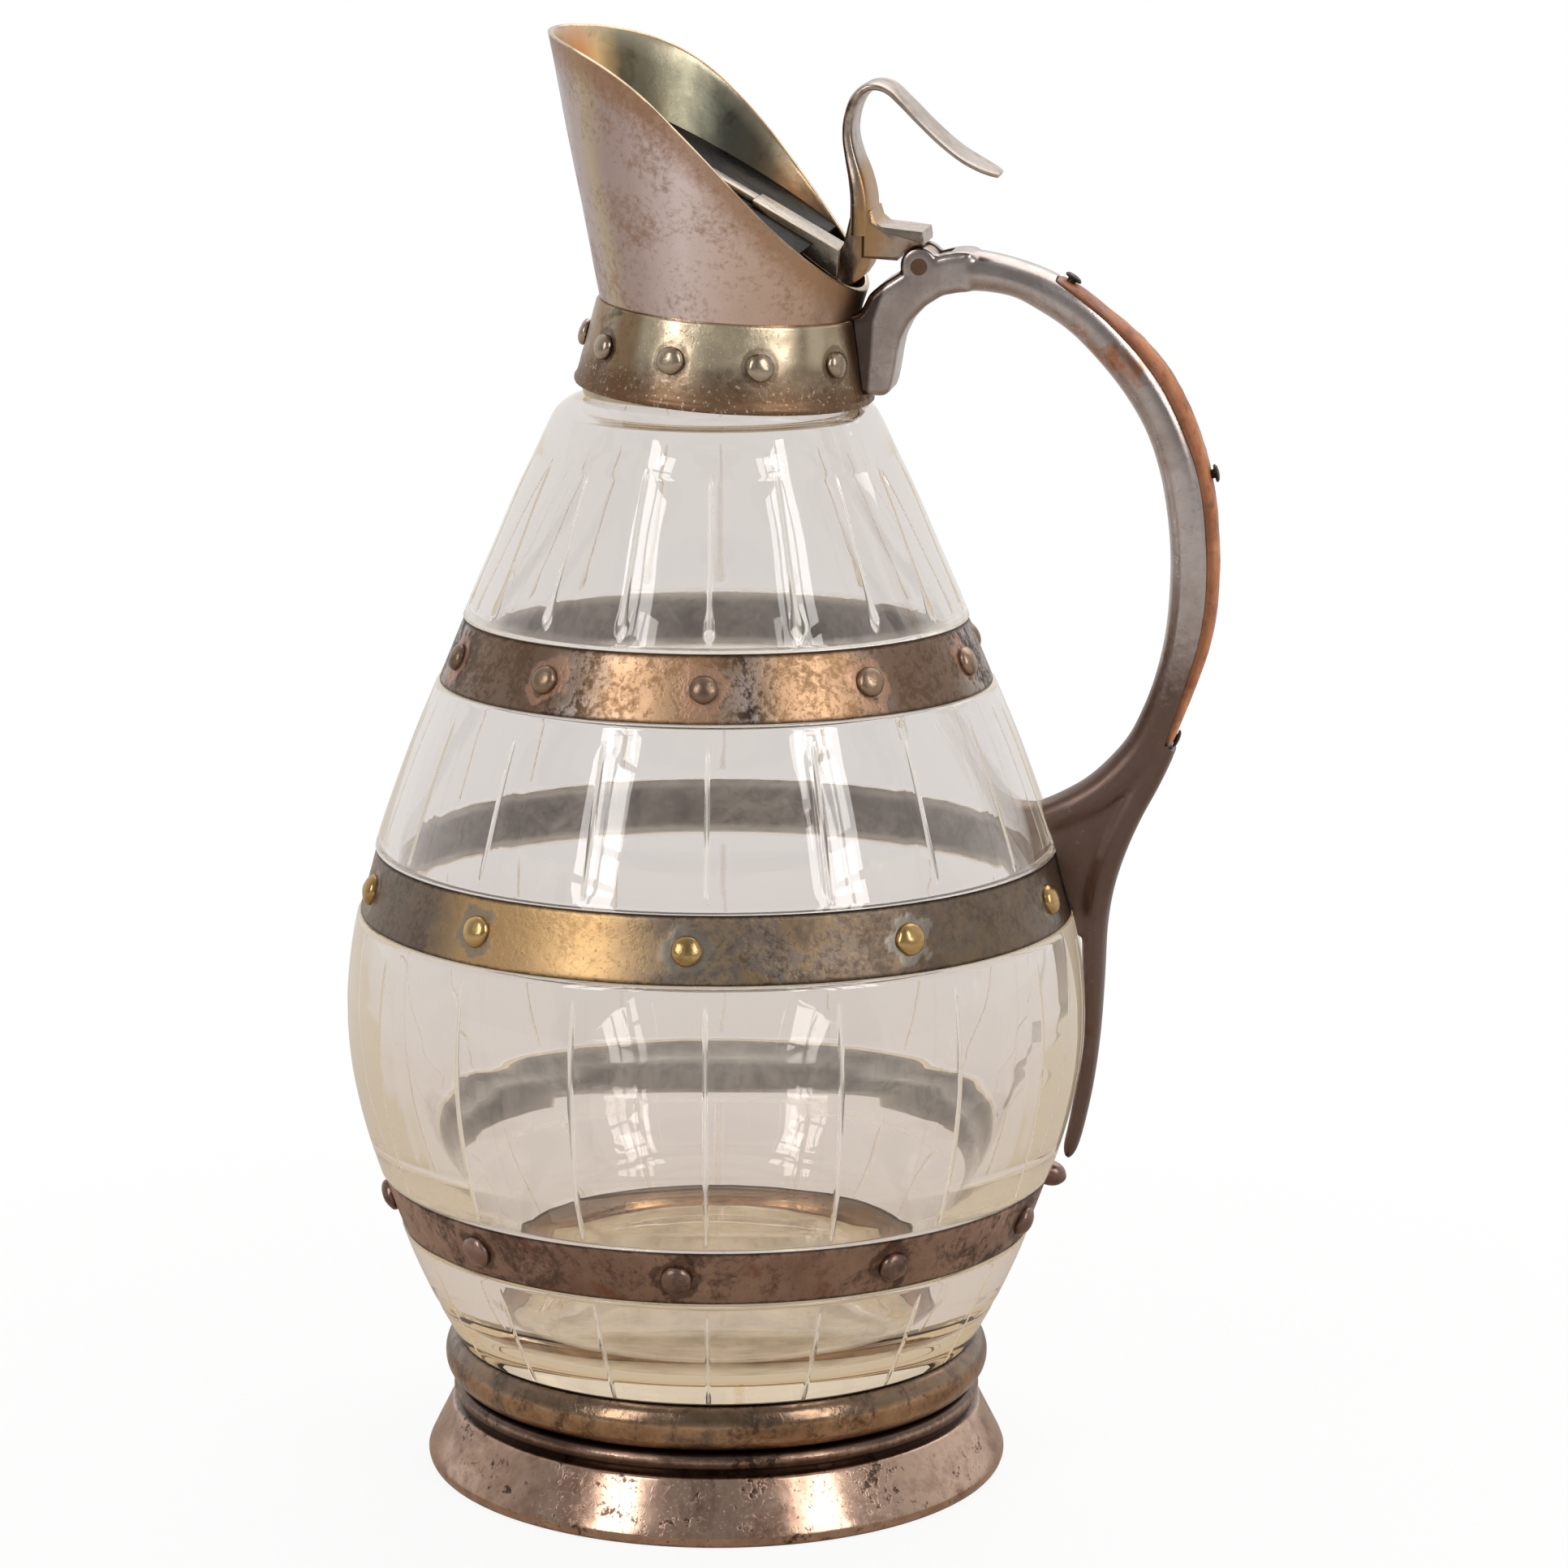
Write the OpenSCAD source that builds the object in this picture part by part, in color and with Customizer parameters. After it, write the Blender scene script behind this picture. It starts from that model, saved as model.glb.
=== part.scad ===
// Barrel-shaped claret jug: cut glass body with three metal hoops, a crooked
// silver-plated mount with a scoop spout, a hinged flap lid with a swan-neck
// thumb lever, and a bow handle with a leather grip strip.
// Millimetres, +Z up, handle towards +X. The origin is the middle of the underside.

/* [Glass] */
// Height at which the belly is widest
belly_z = 95; // [92:0.5:98]
// Widest radius of the belly
belly_r = 73.6; // [73:0.1:74.4]
// Thickness of the glass wall where it is thinnest, under the shoulder
glass_wall = 4.2; // [3.6:0.1:4.4]
// Height of the glass floor above the ground
glass_floor_z = 31; // [27:0.5:31.5]
// Radius of the bore through the neck
neck_bore_r = 17.5; // [15:0.1:18.4]
// Outer radius of the straight neck
neck_r = 20.5; // [19.6:0.1:20.8]

/* [Hoops] */
// Thickness of the hoop bands
hoop_t = 1.1; // [0.8:0.1:1.3]
// How far the hoops lie below the glass around them
hoop_inset = 0.35; // [0.2:0.05:0.5]
// Bottom and top height of the lower hoop
hoop_lower = [50.4, 61.5];
// Bottom and top height of the middle hoop
hoop_middle = [113.8, 126.3];
// Bottom and top height of the upper hoop
hoop_upper = [159.8, 172.1];
// Turn of all the hoop studs, in degrees
stud_shift = 0; // [-2:0.5:2]

/* [Foot] */
// Widest radius of the foot
foot_r = 58.5; // [58:0.1:59.5]
// Height of the middle of the round bead under the glass
bead_z = 22.3; // [22:0.1:22.6]
// Outer radius of the round bead
bead_r = 54.8; // [54.5:0.1:55.2]
// Thickness of the base plate
base_plate_t = 1.2; // [0.8:0.1:1.2]

/* [Neck mount] */
// Shift of the neck mount towards the handle
mount_shift = 1.6; // [1.2:0.1:2]
// Height of the middle of the mount's lower edge
mount_z = 216.6; // [216.4:0.1:217]
// Lean of the mount towards the handle, in degrees
mount_lean = 4.3; // [3.5:0.1:4.5]
// Sideways lean of the mount, in degrees
mount_nod = 3.0; // [2.5:0.1:3.2]
// Height of the collar
collar_h = 16.6; // [16.2:0.1:17]
// Outer radius of the collar's lower edge
collar_r_low = 29.2; // [29:0.1:29.4]
// Outer radius of the collar's upper edge
collar_r_top = 25.9; // [25.8:0.1:26.2]
// Thickness of the collar
collar_t = 1.3; // [1:0.1:1.4]
// Radius of the spout where it leaves the collar
spout_r = 25.3; // [25.2:0.05:25.4]
// Flare of the spout's wall, in degrees
spout_flare = 14.3; // [14:0.1:14.5]
// Thickness of the spout's wall
spout_t = 1.1; // [0.8:0.1:1.2]

/* [Lid] */
// Slope of the flap, in degrees
flap_slope = 26; // [25.5:0.1:26.5]
// Thickness of the flap
flap_t = 1.2; // [0.9:0.1:1.4]
// Gap between the flap and the spout's wall
flap_gap = 0.6; // [0.5:0.05:0.9]
// Width of the lid's arm
arm_w = 10.8; // [10:0.2:11]
// Width of the lever's block over the hinge
block_w = 13.6; // [12:0.2:14]

/* [Hinge] */
// Distance of the hinge pin from the mount's middle
hinge_x = 37.1;
// Height of the hinge pin above the collar's lower edge
hinge_z = 28.0;
// Radius of the hinge pin
pin_r = 1.6; // [1.4:0.05:1.8]
// Running clearance of the lever's knuckle on the pin
pin_fit = 0.06; // [0.04:0.01:0.1]
// Radius of the fork's lugs
lug_r = 3.6; // [3.5:0.05:3.7]
// Width of the fork
fork_w = 12; // [11:0.5:12.5]
// Width of the knuckle between the lugs
knuckle_w = 5; // [4.5:0.1:5.4]

/* [Handle] */
// Widest cross width of the bow
bow_w = 11.4; // [11:0.1:12]
// Width of the leather grip strip
strip_w = 8.6; // [8:0.1:9]
// Radius of the grip pins
grip_pin_r = 0.9; // [0.7:0.05:1]

/* [Hidden] */
$fn = 96;
eps = 0.01;

silver = "#a89b95";
dark_silver = "#6f6a60";
copper = "#9a7468";
gilt = "#b89a62";
clear_glass = [0.86, 0.87, 0.88, 0.45];
plaster_cream = "#d8cbb0";
tan_leather = "#b0673a";

// ---------- curves ----------

function catmull(a, b, c, d, t) =
    0.5 * (2 * b + (c - a) * t + (2 * a - 5 * b + 4 * c - d) * t * t
    + (3 * b - a - 3 * c + d) * t * t * t);

// A smooth line through the points, with n steps between neighbours
function smooth(p, n) = concat(
    [for (i = [0:len(p) - 2]) for (k = [0:n - 1])
        catmull(p[max(i - 1, 0)], p[i], p[i + 1], p[min(i + 2, len(p) - 1)], k / n)],
    [p[len(p) - 1]]);

function reversed(p) = [for (i = [len(p) - 1:-1:0]) p[i]];
function swapped(p) = [for (q = p) [q[1], q[0]]];

// Unit direction of a line of points at point i
function heading(p, i) =
    let (d = p[min(i + 1, len(p) - 1)] - p[max(i - 1, 0)])
    [d[0], d[1]] / norm([d[0], d[1]]);

// Outline of a strip along points [x, z, thickness]
function strip_outline(p) = concat(
    [for (i = [0:len(p) - 1]) let (h = heading(p, i))
        [p[i][0] - h[1] * p[i][2] / 2, p[i][1] + h[0] * p[i][2] / 2]],
    [for (i = [len(p) - 1:-1:0]) let (h = heading(p, i))
        [p[i][0] + h[1] * p[i][2] / 2, p[i][1] - h[0] * p[i][2] / 2]]);

// Half circle of points from the angle a to the angle b
function arc(cx, cz, r, a, b, n) =
    [for (i = [0:n]) let (t = a + (b - a) * i / n) [cx + r * cos(t), cz + r * sin(t)]];

// ---------- glass shape ----------

// Outer shape of the glass as [radius, height], without the hoops' channels
glass_points = [[50.2, 23.6], [52.5, 27], [54.2, 30], [57.6, 36.5], [61.2, 44.5], [64.2, 52.5],
    [67.6, 62], [70.4, 71], [72.4, 80], [73.3, 87], [belly_r, belly_z], [73.0, 103.5],
    [71.6, 112], [69.2, 120.5], [66.9, 129], [63.4, 139], [59.8, 148.5], [56.0, 157.5],
    [52.0, 167], [47.9, 177], [43.5, 187], [39.2, 197], [34.8, 206]];
glass_curve = smooth(glass_points, 2);
glass_lookup = swapped(glass_curve);
shoulder_points = [[32.9, 210.1], [31.2, 213], [28.4, 215.2], [24.6, 216.4], [21.6, 217.6], [neck_r, 219.6]];
glass_base_z = 20;
glass_top_z = 229;
inner_shoulder = [[28.0, 210], [24.0, 213.4], [20.4, 216], [18.2, 218.4], [neck_bore_r, 221]];

function glass_r(z) = lookup(z, glass_lookup);

// Depth of the hoops' channels in the glass
channel = hoop_inset + hoop_t + 0.05;
hoops = [hoop_lower, hoop_middle, hoop_upper];
channel_gap = 0.15;

// The blown wall thickens towards the floor, and a little towards the neck
thin_z = 147;
wall_growth = 0.00095;
function wall(z) = glass_wall + wall_growth * pow(z - thin_z, 2);
inner_curve = [for (z = [70:12:202]) [glass_r(z) - wall(z), z]];
inner_floor = [[0, glass_floor_z], [28, glass_floor_z + 0.1], [36, 31.9], [42, 34], [45.8, 37.6], [48.6, 42.6],
    [50.8, 48.4], [53, 54.5], [55.9, 61]];

// Where the studs stand round each hoop, in degrees from the handle. They were
// set by eye, so the spacing wanders a little.
lower_stud_turns = [45, 83, 121, 159, 197, 236, 274, 311.5, 347.5];
middle_stud_turns = [26, 62, 97, 132, 168, 204, 240, 276, 312, 349.5];
upper_stud_turns = [24, 61, 97, 133, 170, 207.5, 242.5, 278, 314, 348];
// The stud under the tail of the handle stands near the lower hoop's top edge
tail_stud_turn = 9.5;
tail_stud_z = 59;

// ---------- mount frame and hinge ----------

// Everything on the neck stands in a frame of its own, which leans a little
module on_mount()
    translate([mount_shift, 0, mount_z]) rotate([mount_nod, mount_lean, 0]) children();

// A flat shape drawn as [x, z], made w wide and centred on Y = 0
module across(w)
    rotate([90, 0, 0]) translate([0, 0, -w / 2]) linear_extrude(w) children();

function spout_out(z) = spout_r + (z - collar_h) * tan(spout_flare);
spout_skirt_z = 12;
mouth_top = 100;

// Edge of the spout's mouth, seen from the side, as [x, z]
mouth_points = [[-46, 67.6], [-39, 67.2], [-33, 66.4], [-26.7, 65], [-20, 62.5], [-13.3, 58.7],
    [-6.7, 53.4], [0, 47.3], [6.7, 40.5], [13.3, 33.9], [20, 27.7], [26.7, 21.9], [34, 16]];

// Point of the flap's slope that its height is set by
flap_x = 21.5;
flap_z = 27.4;
flap_back_x = 16;
flap_rise = tan(flap_slope);
function flap_top(x) = flap_z + flap_t / 2 / cos(flap_slope) + flap_rise * (flap_x - x);
arm_notch_x = 6;

// Underside of the block, hollowed round the lugs
block_arc_r = lug_r + 0.65;

// ---------- handle stations: [x, z, thickness, width] ----------

handle_start_x = 45.4;
bow_points = [[handle_start_x, 27.4, 8, 12], [50.5, 27.3, 7.4, 11.8], [56, 26.5, 7, 11.6],
    [61.4, 24.6, 7.5, bow_w], [68.8, 20.8, 8.1, bow_w], [76.2, 14.6, 8.4, bow_w],
    [82.2, 8, 8.5, bow_w], [86.9, 0.7, 8.4, bow_w], [90.5, -8.2, 8.5, bow_w],
    [93, -18.8, 8.6, bow_w], [94, -28, 8.6, bow_w], [93.8, -38.3, 8.0, bow_w],
    [92.5, -47.4, 7.6, 11.2], [90.6, -55.6, 8.0, 10.8], [87.2, -63.6, 8.0, 10.4],
    [80.6, -71.6, 7.6, 10], [73.8, -76.4, 7.0, 9.2], [67, -79.8, 6.6, 8.4]];
tail_points = [[92.2, -57, 5, 9], [91, -62, 5.6, 9.6], [88.6, -68.6, 5.8, 9.8], [85.7, -75.8, 5.6, 9.8],
    [83.2, -83.4, 5.6, 9.6], [81.5, -91.2, 5.6, 9.4], [81.2, -99.4, 5.0, 9.2],
    [81.8, -108.6, 4.4, 9], [82.4, -120, 3.6, 8.6], [82.1, -130.4, 3.4, 8.2],
    [81.2, -139.4, 3.2, 7.6], [80.3, -145.2, 2.8, 6.6], [79.9, -147.4, 1.4, 4.6]];
web_outline = [[67, -79], [74, -77], [82, -72], [88, -70], [86, -80], [84, -90], [82, -101],
    [77, -101], [73, -92]];
web_w = 8;

// Outer and inner line of the leather grip strip as [x, z]
strip_outer = [[63.6, 28.1], [67.3, 26.3], [70.4, 24.4], [73.9, 22], [77.3, 19.8], [80.7, 17.2], [83.6, 14.5],
    [86.4, 11.4], [89.4, 7], [91.8, 2.6], [94.3, -3], [96.1, -8.4], [97.4, -13.6], [98.3, -19.1],
    [99, -24.6], [99.3, -31], [99.2, -36.4], [98.5, -42], [97.3, -47.1], [96, -51.8], [94.9, -55.4],
    [94, -58.6], [93.3, -61.2]];
strip_inner = [[63.2, 27.2], [66.7, 25.2], [69.9, 23.2], [73.2, 20.9], [76.4, 18.2], [79.6, 15.3], [82.3, 12.4],
    [84.8, 9.4], [87.4, 5.4], [89.7, 1.2], [92.2, -4], [94, -9.1], [95.2, -14.1], [96.1, -19.4],
    [96.8, -24.8], [97.1, -31], [97, -36.2], [96.3, -41.6], [95.2, -46.5], [94.2, -51.2], [93.3, -54.9],
    [92.5, -58.1], [91.9, -60.7]];
// Gap between the strip and the handle
strip_gap = 0.08;
// Outline of the space that the strip needs on the handle, past its inner line
seat_room = [[94, -62.4], [108, -56], [112, 0], [80, 36], [63, 31]];
// Grip pins as [x, z, turn]
grip_pin_places = [[65.8, 27.1, 31], [95.9, -7.4, 72], [93.1, -59.8, 107]];

// ---------- glass ----------

module glass_outer_2d(cut) {
    polygon(concat([[0, glass_base_z], [44, glass_base_z], [47.6, 20.9]],
        cut ? channelled(glass_curve) : glass_curve,
        smooth(shoulder_points, 2), [[neck_r, glass_top_z - 0.8], [neck_r - 0.8, glass_top_z], [0, glass_top_z]]));
}

// The outer line with a square channel let in for each hoop
function channelled(p) = concat(
    [for (q = p) if (q[1] < hoops[0][0] - 1.2) q], channel_corners(hoops[0]),
    [for (q = p) if (q[1] > hoops[0][1] + 1.2 && q[1] < hoops[1][0] - 1.2) q], channel_corners(hoops[1]),
    [for (q = p) if (q[1] > hoops[1][1] + 1.2 && q[1] < hoops[2][0] - 1.2) q], channel_corners(hoops[2]),
    [for (q = p) if (q[1] > hoops[2][1] + 1.2) q]);

function channel_corners(h) =
    let (low = h[0] - channel_gap, top = h[1] + channel_gap, mid = (h[0] + h[1]) / 2)
    [[glass_r(low), low], [glass_r(low) - channel, low], [glass_r(mid) - channel, mid],
        [glass_r(top) - channel, top], [glass_r(top), top]];

module glass_inner_2d()
    polygon(concat(inner_floor, inner_curve, inner_shoulder,
        [[neck_bore_r, glass_top_z + 1], [0, glass_top_z + 1]]));

module glass_body() {
    color(clear_glass)
    difference() {
        rotate_extrude() glass_outer_2d(true);
        rotate_extrude() glass_inner_2d();
    }
}

// ---------- hoops and studs ----------

function hoop_out(z) = glass_r(z) - hoop_inset;

module hoop_band(h, turns) {
    steps = 3;
    zs = [for (i = [0:steps]) h[0] + (h[1] - h[0]) * i / steps];
    difference() {
        rotate_extrude() polygon(concat(
            [for (z = zs) [hoop_out(z) - hoop_t, z]],
            [for (z = reversed(zs)) [hoop_out(z), z]]));
        at_studs(h, turns) peg_hole();
    }
}

// Places children on a hoop at the height z, pointing outwards from its surface
module on_hoop(h, z, turn) {
    slope = atan2(hoop_out(h[0]) - hoop_out(h[1]), h[1] - h[0]);
    rotate([0, 0, turn + stud_shift]) translate([hoop_out(z), 0, z]) rotate([0, 90 - slope, 0]) children();
}

module at_studs(h, turns)
    for (turn = turns) on_hoop(h, (h[0] + h[1]) / 2, turn) children();

peg_r = 1;

module peg_hole() cylinder(r = peg_r + 0.03, h = 6, center = true, $fn = 24);

// A domed stud with a short peg: r is its radius and h the height of its dome
module stud(r, h) {
    rotate_extrude($fn = 32) polygon(concat([[0, -0.9], [peg_r, -0.9], [peg_r, 0.06], [r, 0.06]],
        [for (i = [1:4]) let (a = i * 22.5) [r * cos(a) + (i == 4 ? 0 : 0.25 * sin(2 * a)), 0.06 + h * sin(a)]]));
}

module hoop_lower_band() {
    color(copper)
    difference() {
        hoop_band(hoop_lower, lower_stud_turns);
        on_hoop(hoop_lower, tail_stud_z, tail_stud_turn) peg_hole();
    }
}

module hoop_middle_band() {
    color(dark_silver) hoop_band(hoop_middle, middle_stud_turns);
}

module hoop_upper_band() {
    color(silver) hoop_band(hoop_upper, upper_stud_turns);
}

module studs_lower() {
    color(copper) at_studs(hoop_lower, lower_stud_turns) stud(3.1, 2);
}

module studs_middle() {
    color(gilt) at_studs(hoop_middle, middle_stud_turns) stud(3, 2);
}

module studs_upper() {
    color(gilt) at_studs(hoop_upper, upper_stud_turns) stud(2.8, 1.9);
}

module tail_stud() {
    color(copper) on_hoop(hoop_lower, tail_stud_z, tail_stud_turn) stud(2.5, 4.4);
}

// ---------- foot ----------

bead_bottom_z = 17.5;
bead_half = bead_z - bead_bottom_z;

module foot_bead_ring() {
    color(dark_silver)
    difference() {
        rotate_extrude() polygon(concat([[47.4, bead_bottom_z]],
            [for (a = [-90:15:75])
                [bead_r - bead_half + bead_half * cos(a), bead_z + (a < 0 ? bead_half : bead_half + 0.4) * sin(a)]],
            [[47.4, 27.2]]));
        rotate_extrude() polygon(concat([[0, glass_base_z - 0.02], [44, glass_base_z - 0.02], [47.64, 20.88]],
            [for (p = glass_curve) if (p[1] < 40) [p[0] + 0.03, p[1]]], [[0, 40]]));
    }
}

module foot_flare() {
    outside = concat([[52.4, bead_bottom_z - 0.02]],
        arc(51.3, 15.3, 1.9, 80, -62, 5),
        [[51.9, 12.9], [53.2, 12.6], [53.7, 12], [58, 3.4], [58.4, 2.7], [foot_r, 2], [58.3, 1], [57.9, 0.4], [57.3, 0]]);
    color(copper)
    rotate_extrude() polygon(concat(outside,
        [[55.4, 0], [55.4, 2.2], [56, 4.8], [54.6, 8.2], [52.8, 10.2], [49.6, 11.4],
        [49.6, bead_bottom_z - 0.02]]));
}

module base_plate() {
    color(dark_silver) cylinder(r = 55.35, h = base_plate_t);
}

module base_plaster() {
    color(plaster_cream)
    rotate_extrude() polygon([[0, base_plate_t + eps], [55.3, base_plate_t + eps], [55.35, 2.2],
        [55.9, 4.8], [54.5, 8.1], [52.7, 10.1], [49.5, 11.3], [49.5, 17.4], [47.3, 17.4],
        [47.3, 19.9], [0, 19.9]]);
}

// ---------- neck mount ----------

module collar_solid(grow) {
    cylinder(r1 = collar_r_low + grow, r2 = collar_r_top + grow, h = collar_h);
}

module neck_plaster() {
    low = 4.6;
    color(plaster_cream)
    difference() {
        on_mount() rotate_extrude() polygon([[0, -low], [26.6, -low], [27.7, -1.2], [27.8, 0],
            [collar_r_low - collar_t - 0.05, 0.05],
            [collar_r_top - collar_t + 0.9, spout_skirt_z - 0.15], [0, spout_skirt_z - 0.15]]);
        rotate_extrude() glass_outer_2d(false);
        translate([0, 0, glass_top_z - 12]) cylinder(r = neck_r, h = 40);
    }
}

// Height and turn of the collar's studs
collar_stud_z = 9;
collar_stud_turn = 5.7;
// One of these places is taken by the bracket
collar_stud_count = 10;

module at_collar_studs() {
    r = collar_r_low + (collar_r_top - collar_r_low) * collar_stud_z / collar_h;
    slope = atan2(collar_r_low - collar_r_top, collar_h);
    for (i = [1:collar_stud_count - 1])
        rotate([0, 0, collar_stud_turn + i * 360 / collar_stud_count])
            translate([r, 0, collar_stud_z]) rotate([0, 90 - slope, 0]) children();
}

module neck_collar() {
    color(dark_silver)
    on_mount() difference() {
        rotate_extrude() polygon([[collar_r_low - collar_t, 0], [collar_r_low - 0.4, 0],
            [collar_r_low + 0.1, 0.6], [collar_r_low - 0.3, 1.8],
            [collar_r_top + 0.1, collar_h - 1], [collar_r_top, collar_h - 0.3],
            [collar_r_top - 0.4, collar_h], [collar_r_top - collar_t, collar_h]]);
        at_collar_studs() peg_hole();
    }
}

module collar_studs() { color(silver) on_mount() at_collar_studs() stud(2.6, 1.6); }

module spout_cone(inset, low, high)
    translate([0, 0, low])
        cylinder(r1 = spout_out(low) - inset, r2 = spout_out(high) - inset, h = high - low);

module above_mouth()
    across(120) polygon(concat(smooth(mouth_points, 3), [[60, 16], [60, mouth_top], [-46, mouth_top]]));

module spout() {
    skirt_r = collar_r_top - collar_t - 0.05;
    color(silver)
    on_mount() difference() {
        union() {
            spout_cone(0, collar_h + 0.02, 72);
            translate([0, 0, spout_skirt_z]) cylinder(r = skirt_r, h = collar_h - spout_skirt_z + 0.02);
        }
        spout_cone(spout_t, collar_h, 73);
        translate([0, 0, spout_skirt_z - 1]) cylinder(r = spout_r - spout_t, h = collar_h - spout_skirt_z + 1);
        above_mouth();
    }
}

// ---------- hinge ----------

module at_hinge() translate([hinge_x, 0, hinge_z]) rotate([90, 0, 0]) children();

module hinge_bracket() {
    slot_w = knuckle_w + 0.4;
    slot_r = lug_r + 0.6;
    slot_end_x = 42.8;
    side = [[24, 2.2], [32, 2.2], [33.3, 3.2], [33.8, 5.6], [34.2, 10], [34.6, 13.4], [36, 16.8],
        [38.8, 20.2], [42, 22.6], [handle_start_x, 23.5], [handle_start_x, 31.4], [43, 31], [41, 30.4],
        [hinge_x, hinge_z], [33.4, 26.2], [30.2, 23.8], [27.9, 21.6], [27.3, 20], [26.4, 18], [24, 17]];
    color(silver)
    on_mount() difference() {
        union() {
            across(fork_w) polygon(side);
            at_hinge() cylinder(r = lug_r, h = fork_w, center = true);
        }
        collar_solid(0.12);
        spout_cone(-0.06, 15, 30);
        at_hinge() cylinder(r = slot_r, h = slot_w, center = true);
        translate([hinge_x - slot_r, -slot_w / 2, hinge_z]) cube([slot_end_x - hinge_x + slot_r, slot_w, 12]);
        at_hinge() cylinder(r = pin_r, h = fork_w + 2, center = true);
    }
}

module hinge_pin() {
    color(gilt) on_mount() at_hinge() cylinder(r = pin_r, h = fork_w + 0.4, center = true);
}

// ---------- lid ----------

module flap_slab() {
    back = (flap_x - flap_back_x) / cos(flap_slope);
    translate([flap_x, 0, flap_z]) rotate([0, flap_slope, 0])
        translate([-100 - back, -60, -flap_t / 2]) cube([100, 120, flap_t]);
}

module lid_flap() {
    color(dark_silver)
    on_mount() difference() {
        intersection() {
            spout_cone(spout_t + flap_gap, collar_h, 90);
            flap_slab();
        }
        translate([arm_notch_x, -arm_w / 2 - 0.03, 0]) cube([40, arm_w + 0.06, 60]);
    }
}

module lid_arm() {
    tongue_x = -9.5;
    shoulder_x = 4;
    lift = 0.02;
    color(silver)
    on_mount() {
        across(arm_w) polygon([[shoulder_x, flap_top(shoulder_x) + lift],
            [shoulder_x, flap_top(shoulder_x) + 1.3], [21.4, flap_top(21.4) + 1.5], [21.4, 24.1], [16.3, 27.2],
            [10.5, 31.2], [arm_notch_x + 0.05, 34], [arm_notch_x + 0.05, flap_top(arm_notch_x + 0.05) + lift]]);
        across(arm_w / 2) polygon([[shoulder_x, flap_top(shoulder_x) + lift],
            [shoulder_x, flap_top(shoulder_x) + 1.3], [tongue_x + 1.5, flap_top(tongue_x + 1.5) + 1.1],
            [tongue_x, flap_top(tongue_x) + 0.4], [tongue_x, flap_top(tongue_x) + lift]]);
    }
}

// Middle line of the swan neck as [x, z, thickness]
neck_points = [[25.2, 33, 4.4], [24.9, 39, 4.2], [23.9, 43.4, 3.6], [22.4, 47.6, 2.8], [21.4, 51.4, 2.4],
    [21.4, 55, 2.3], [22.5, 58.8, 2.1], [25, 61.1, 1.8], [28.2, 60.9, 1.5], [31.7, 58.3, 1.3],
    [35.4, 55.1, 1.2], [39.4, 51.9, 1.2], [43.2, 49.4, 1.2], [47, 47.6, 1.2], [50.6, 46.2, 1]];
// Half widths of the neck as [half width, z]: narrow in the middle, wide at the block
neck_widths = [[5.4, 22], [5.4, 27.6], [6.8, 30.5], [7.4, 38], [7, 43], [5.9, 48], [5.4, 52], [5.6, 56],
    [6.6, 59], [7.2, 63]];
// Where the neck turns into the arm
neck_end_x = 29;
// Half widths of the arm as [x, half width], with a rounded tip
arm_widths = [[neck_end_x, 6.6], [34, 7.2], [41, 7.4], [45, 7.8], [47.6, 7.2], [49.4, 5.8], [50.7, 3.6],
    [51.2, 1.2]];

module neck_front()
    rotate([90, 0, 90]) linear_extrude(neck_end_x) polygon(concat(neck_widths,
        [for (q = reversed(neck_widths)) [-q[0], q[1]]]));

module arm_plan()
    linear_extrude(70) polygon(concat(arm_widths, [for (q = reversed(arm_widths)) [q[0], -q[1]]]));

module thumb_lever() {
    heel = [[21.42, 24.1], [22.6, 23.3], [24.4, 23.4], [26, 24.7], [27.1, 26.6], [27.7, 28.7], [27.7, 34.6],
        [23, 36], [22.2, 31], [21.42, 29.6]];
    block = concat([[26, 28.8]], arc(hinge_x, hinge_z, block_arc_r, 168, 82, 6),
        [[37.7, 33], [37.3, 34.7], [29.4, 35], [28, 36], [27.2, 38], [25.4, 38]]);
    swan = strip_outline(smooth(neck_points, 3));
    color(silver)
    on_mount() difference() {
        union() {
            intersection() {
                across(16) union() {
                    polygon(heel);
                    polygon(swan);
                }
                neck_front();
            }
            across(block_w) polygon(block);
            intersection() {
                across(16) polygon(swan);
                arm_plan();
            }
            at_hinge() cylinder(r = lug_r - 0.2, h = knuckle_w, center = true);
            translate([33.6, -knuckle_w / 2, hinge_z]) cube([3.4, knuckle_w, 5.4]);
        }
        at_hinge() cylinder(r = pin_r + pin_fit, h = 20, center = true);
    }
}

// ---------- handle ----------

// A bar with a rounded-square section, swept along stations [x, z, thickness, width]
module bar(p, sides) {
    roundness = 2 / 2.5;
    n = len(p);
    rings = [for (i = [0:n - 1]) let (h = heading(p, i)) for (k = [0:sides - 1])
        let (a = 360 * k / sides,
            u = sign(cos(a)) * pow(abs(cos(a)), roundness) * p[i][2] / 2,
            v = sign(sin(a)) * pow(abs(sin(a)), roundness) * p[i][3] / 2)
        [p[i][0] - h[1] * u, v, p[i][1] + h[0] * u]];
    walls = [for (i = [0:n - 2]) for (k = [0:sides - 1]) let (a = i * sides + k, b = i * sides + (k + 1) % sides)
        [a, b, b + sides, a + sides]];
    polyhedron(rings, concat([[for (k = [sides - 1:-1:0]) k]], walls,
        [[for (k = [0:sides - 1]) (n - 1) * sides + k]]), convexity = 6);
}

// Everything that the glass and the hoops fill, grown a little
module glass_envelope(grow) {
    rotate_extrude() polygon(concat([[0, 40]], [for (p = glass_curve) if (p[1] > 40) [p[0] + grow, p[1]]],
        [[0, 206]]));
}

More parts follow.
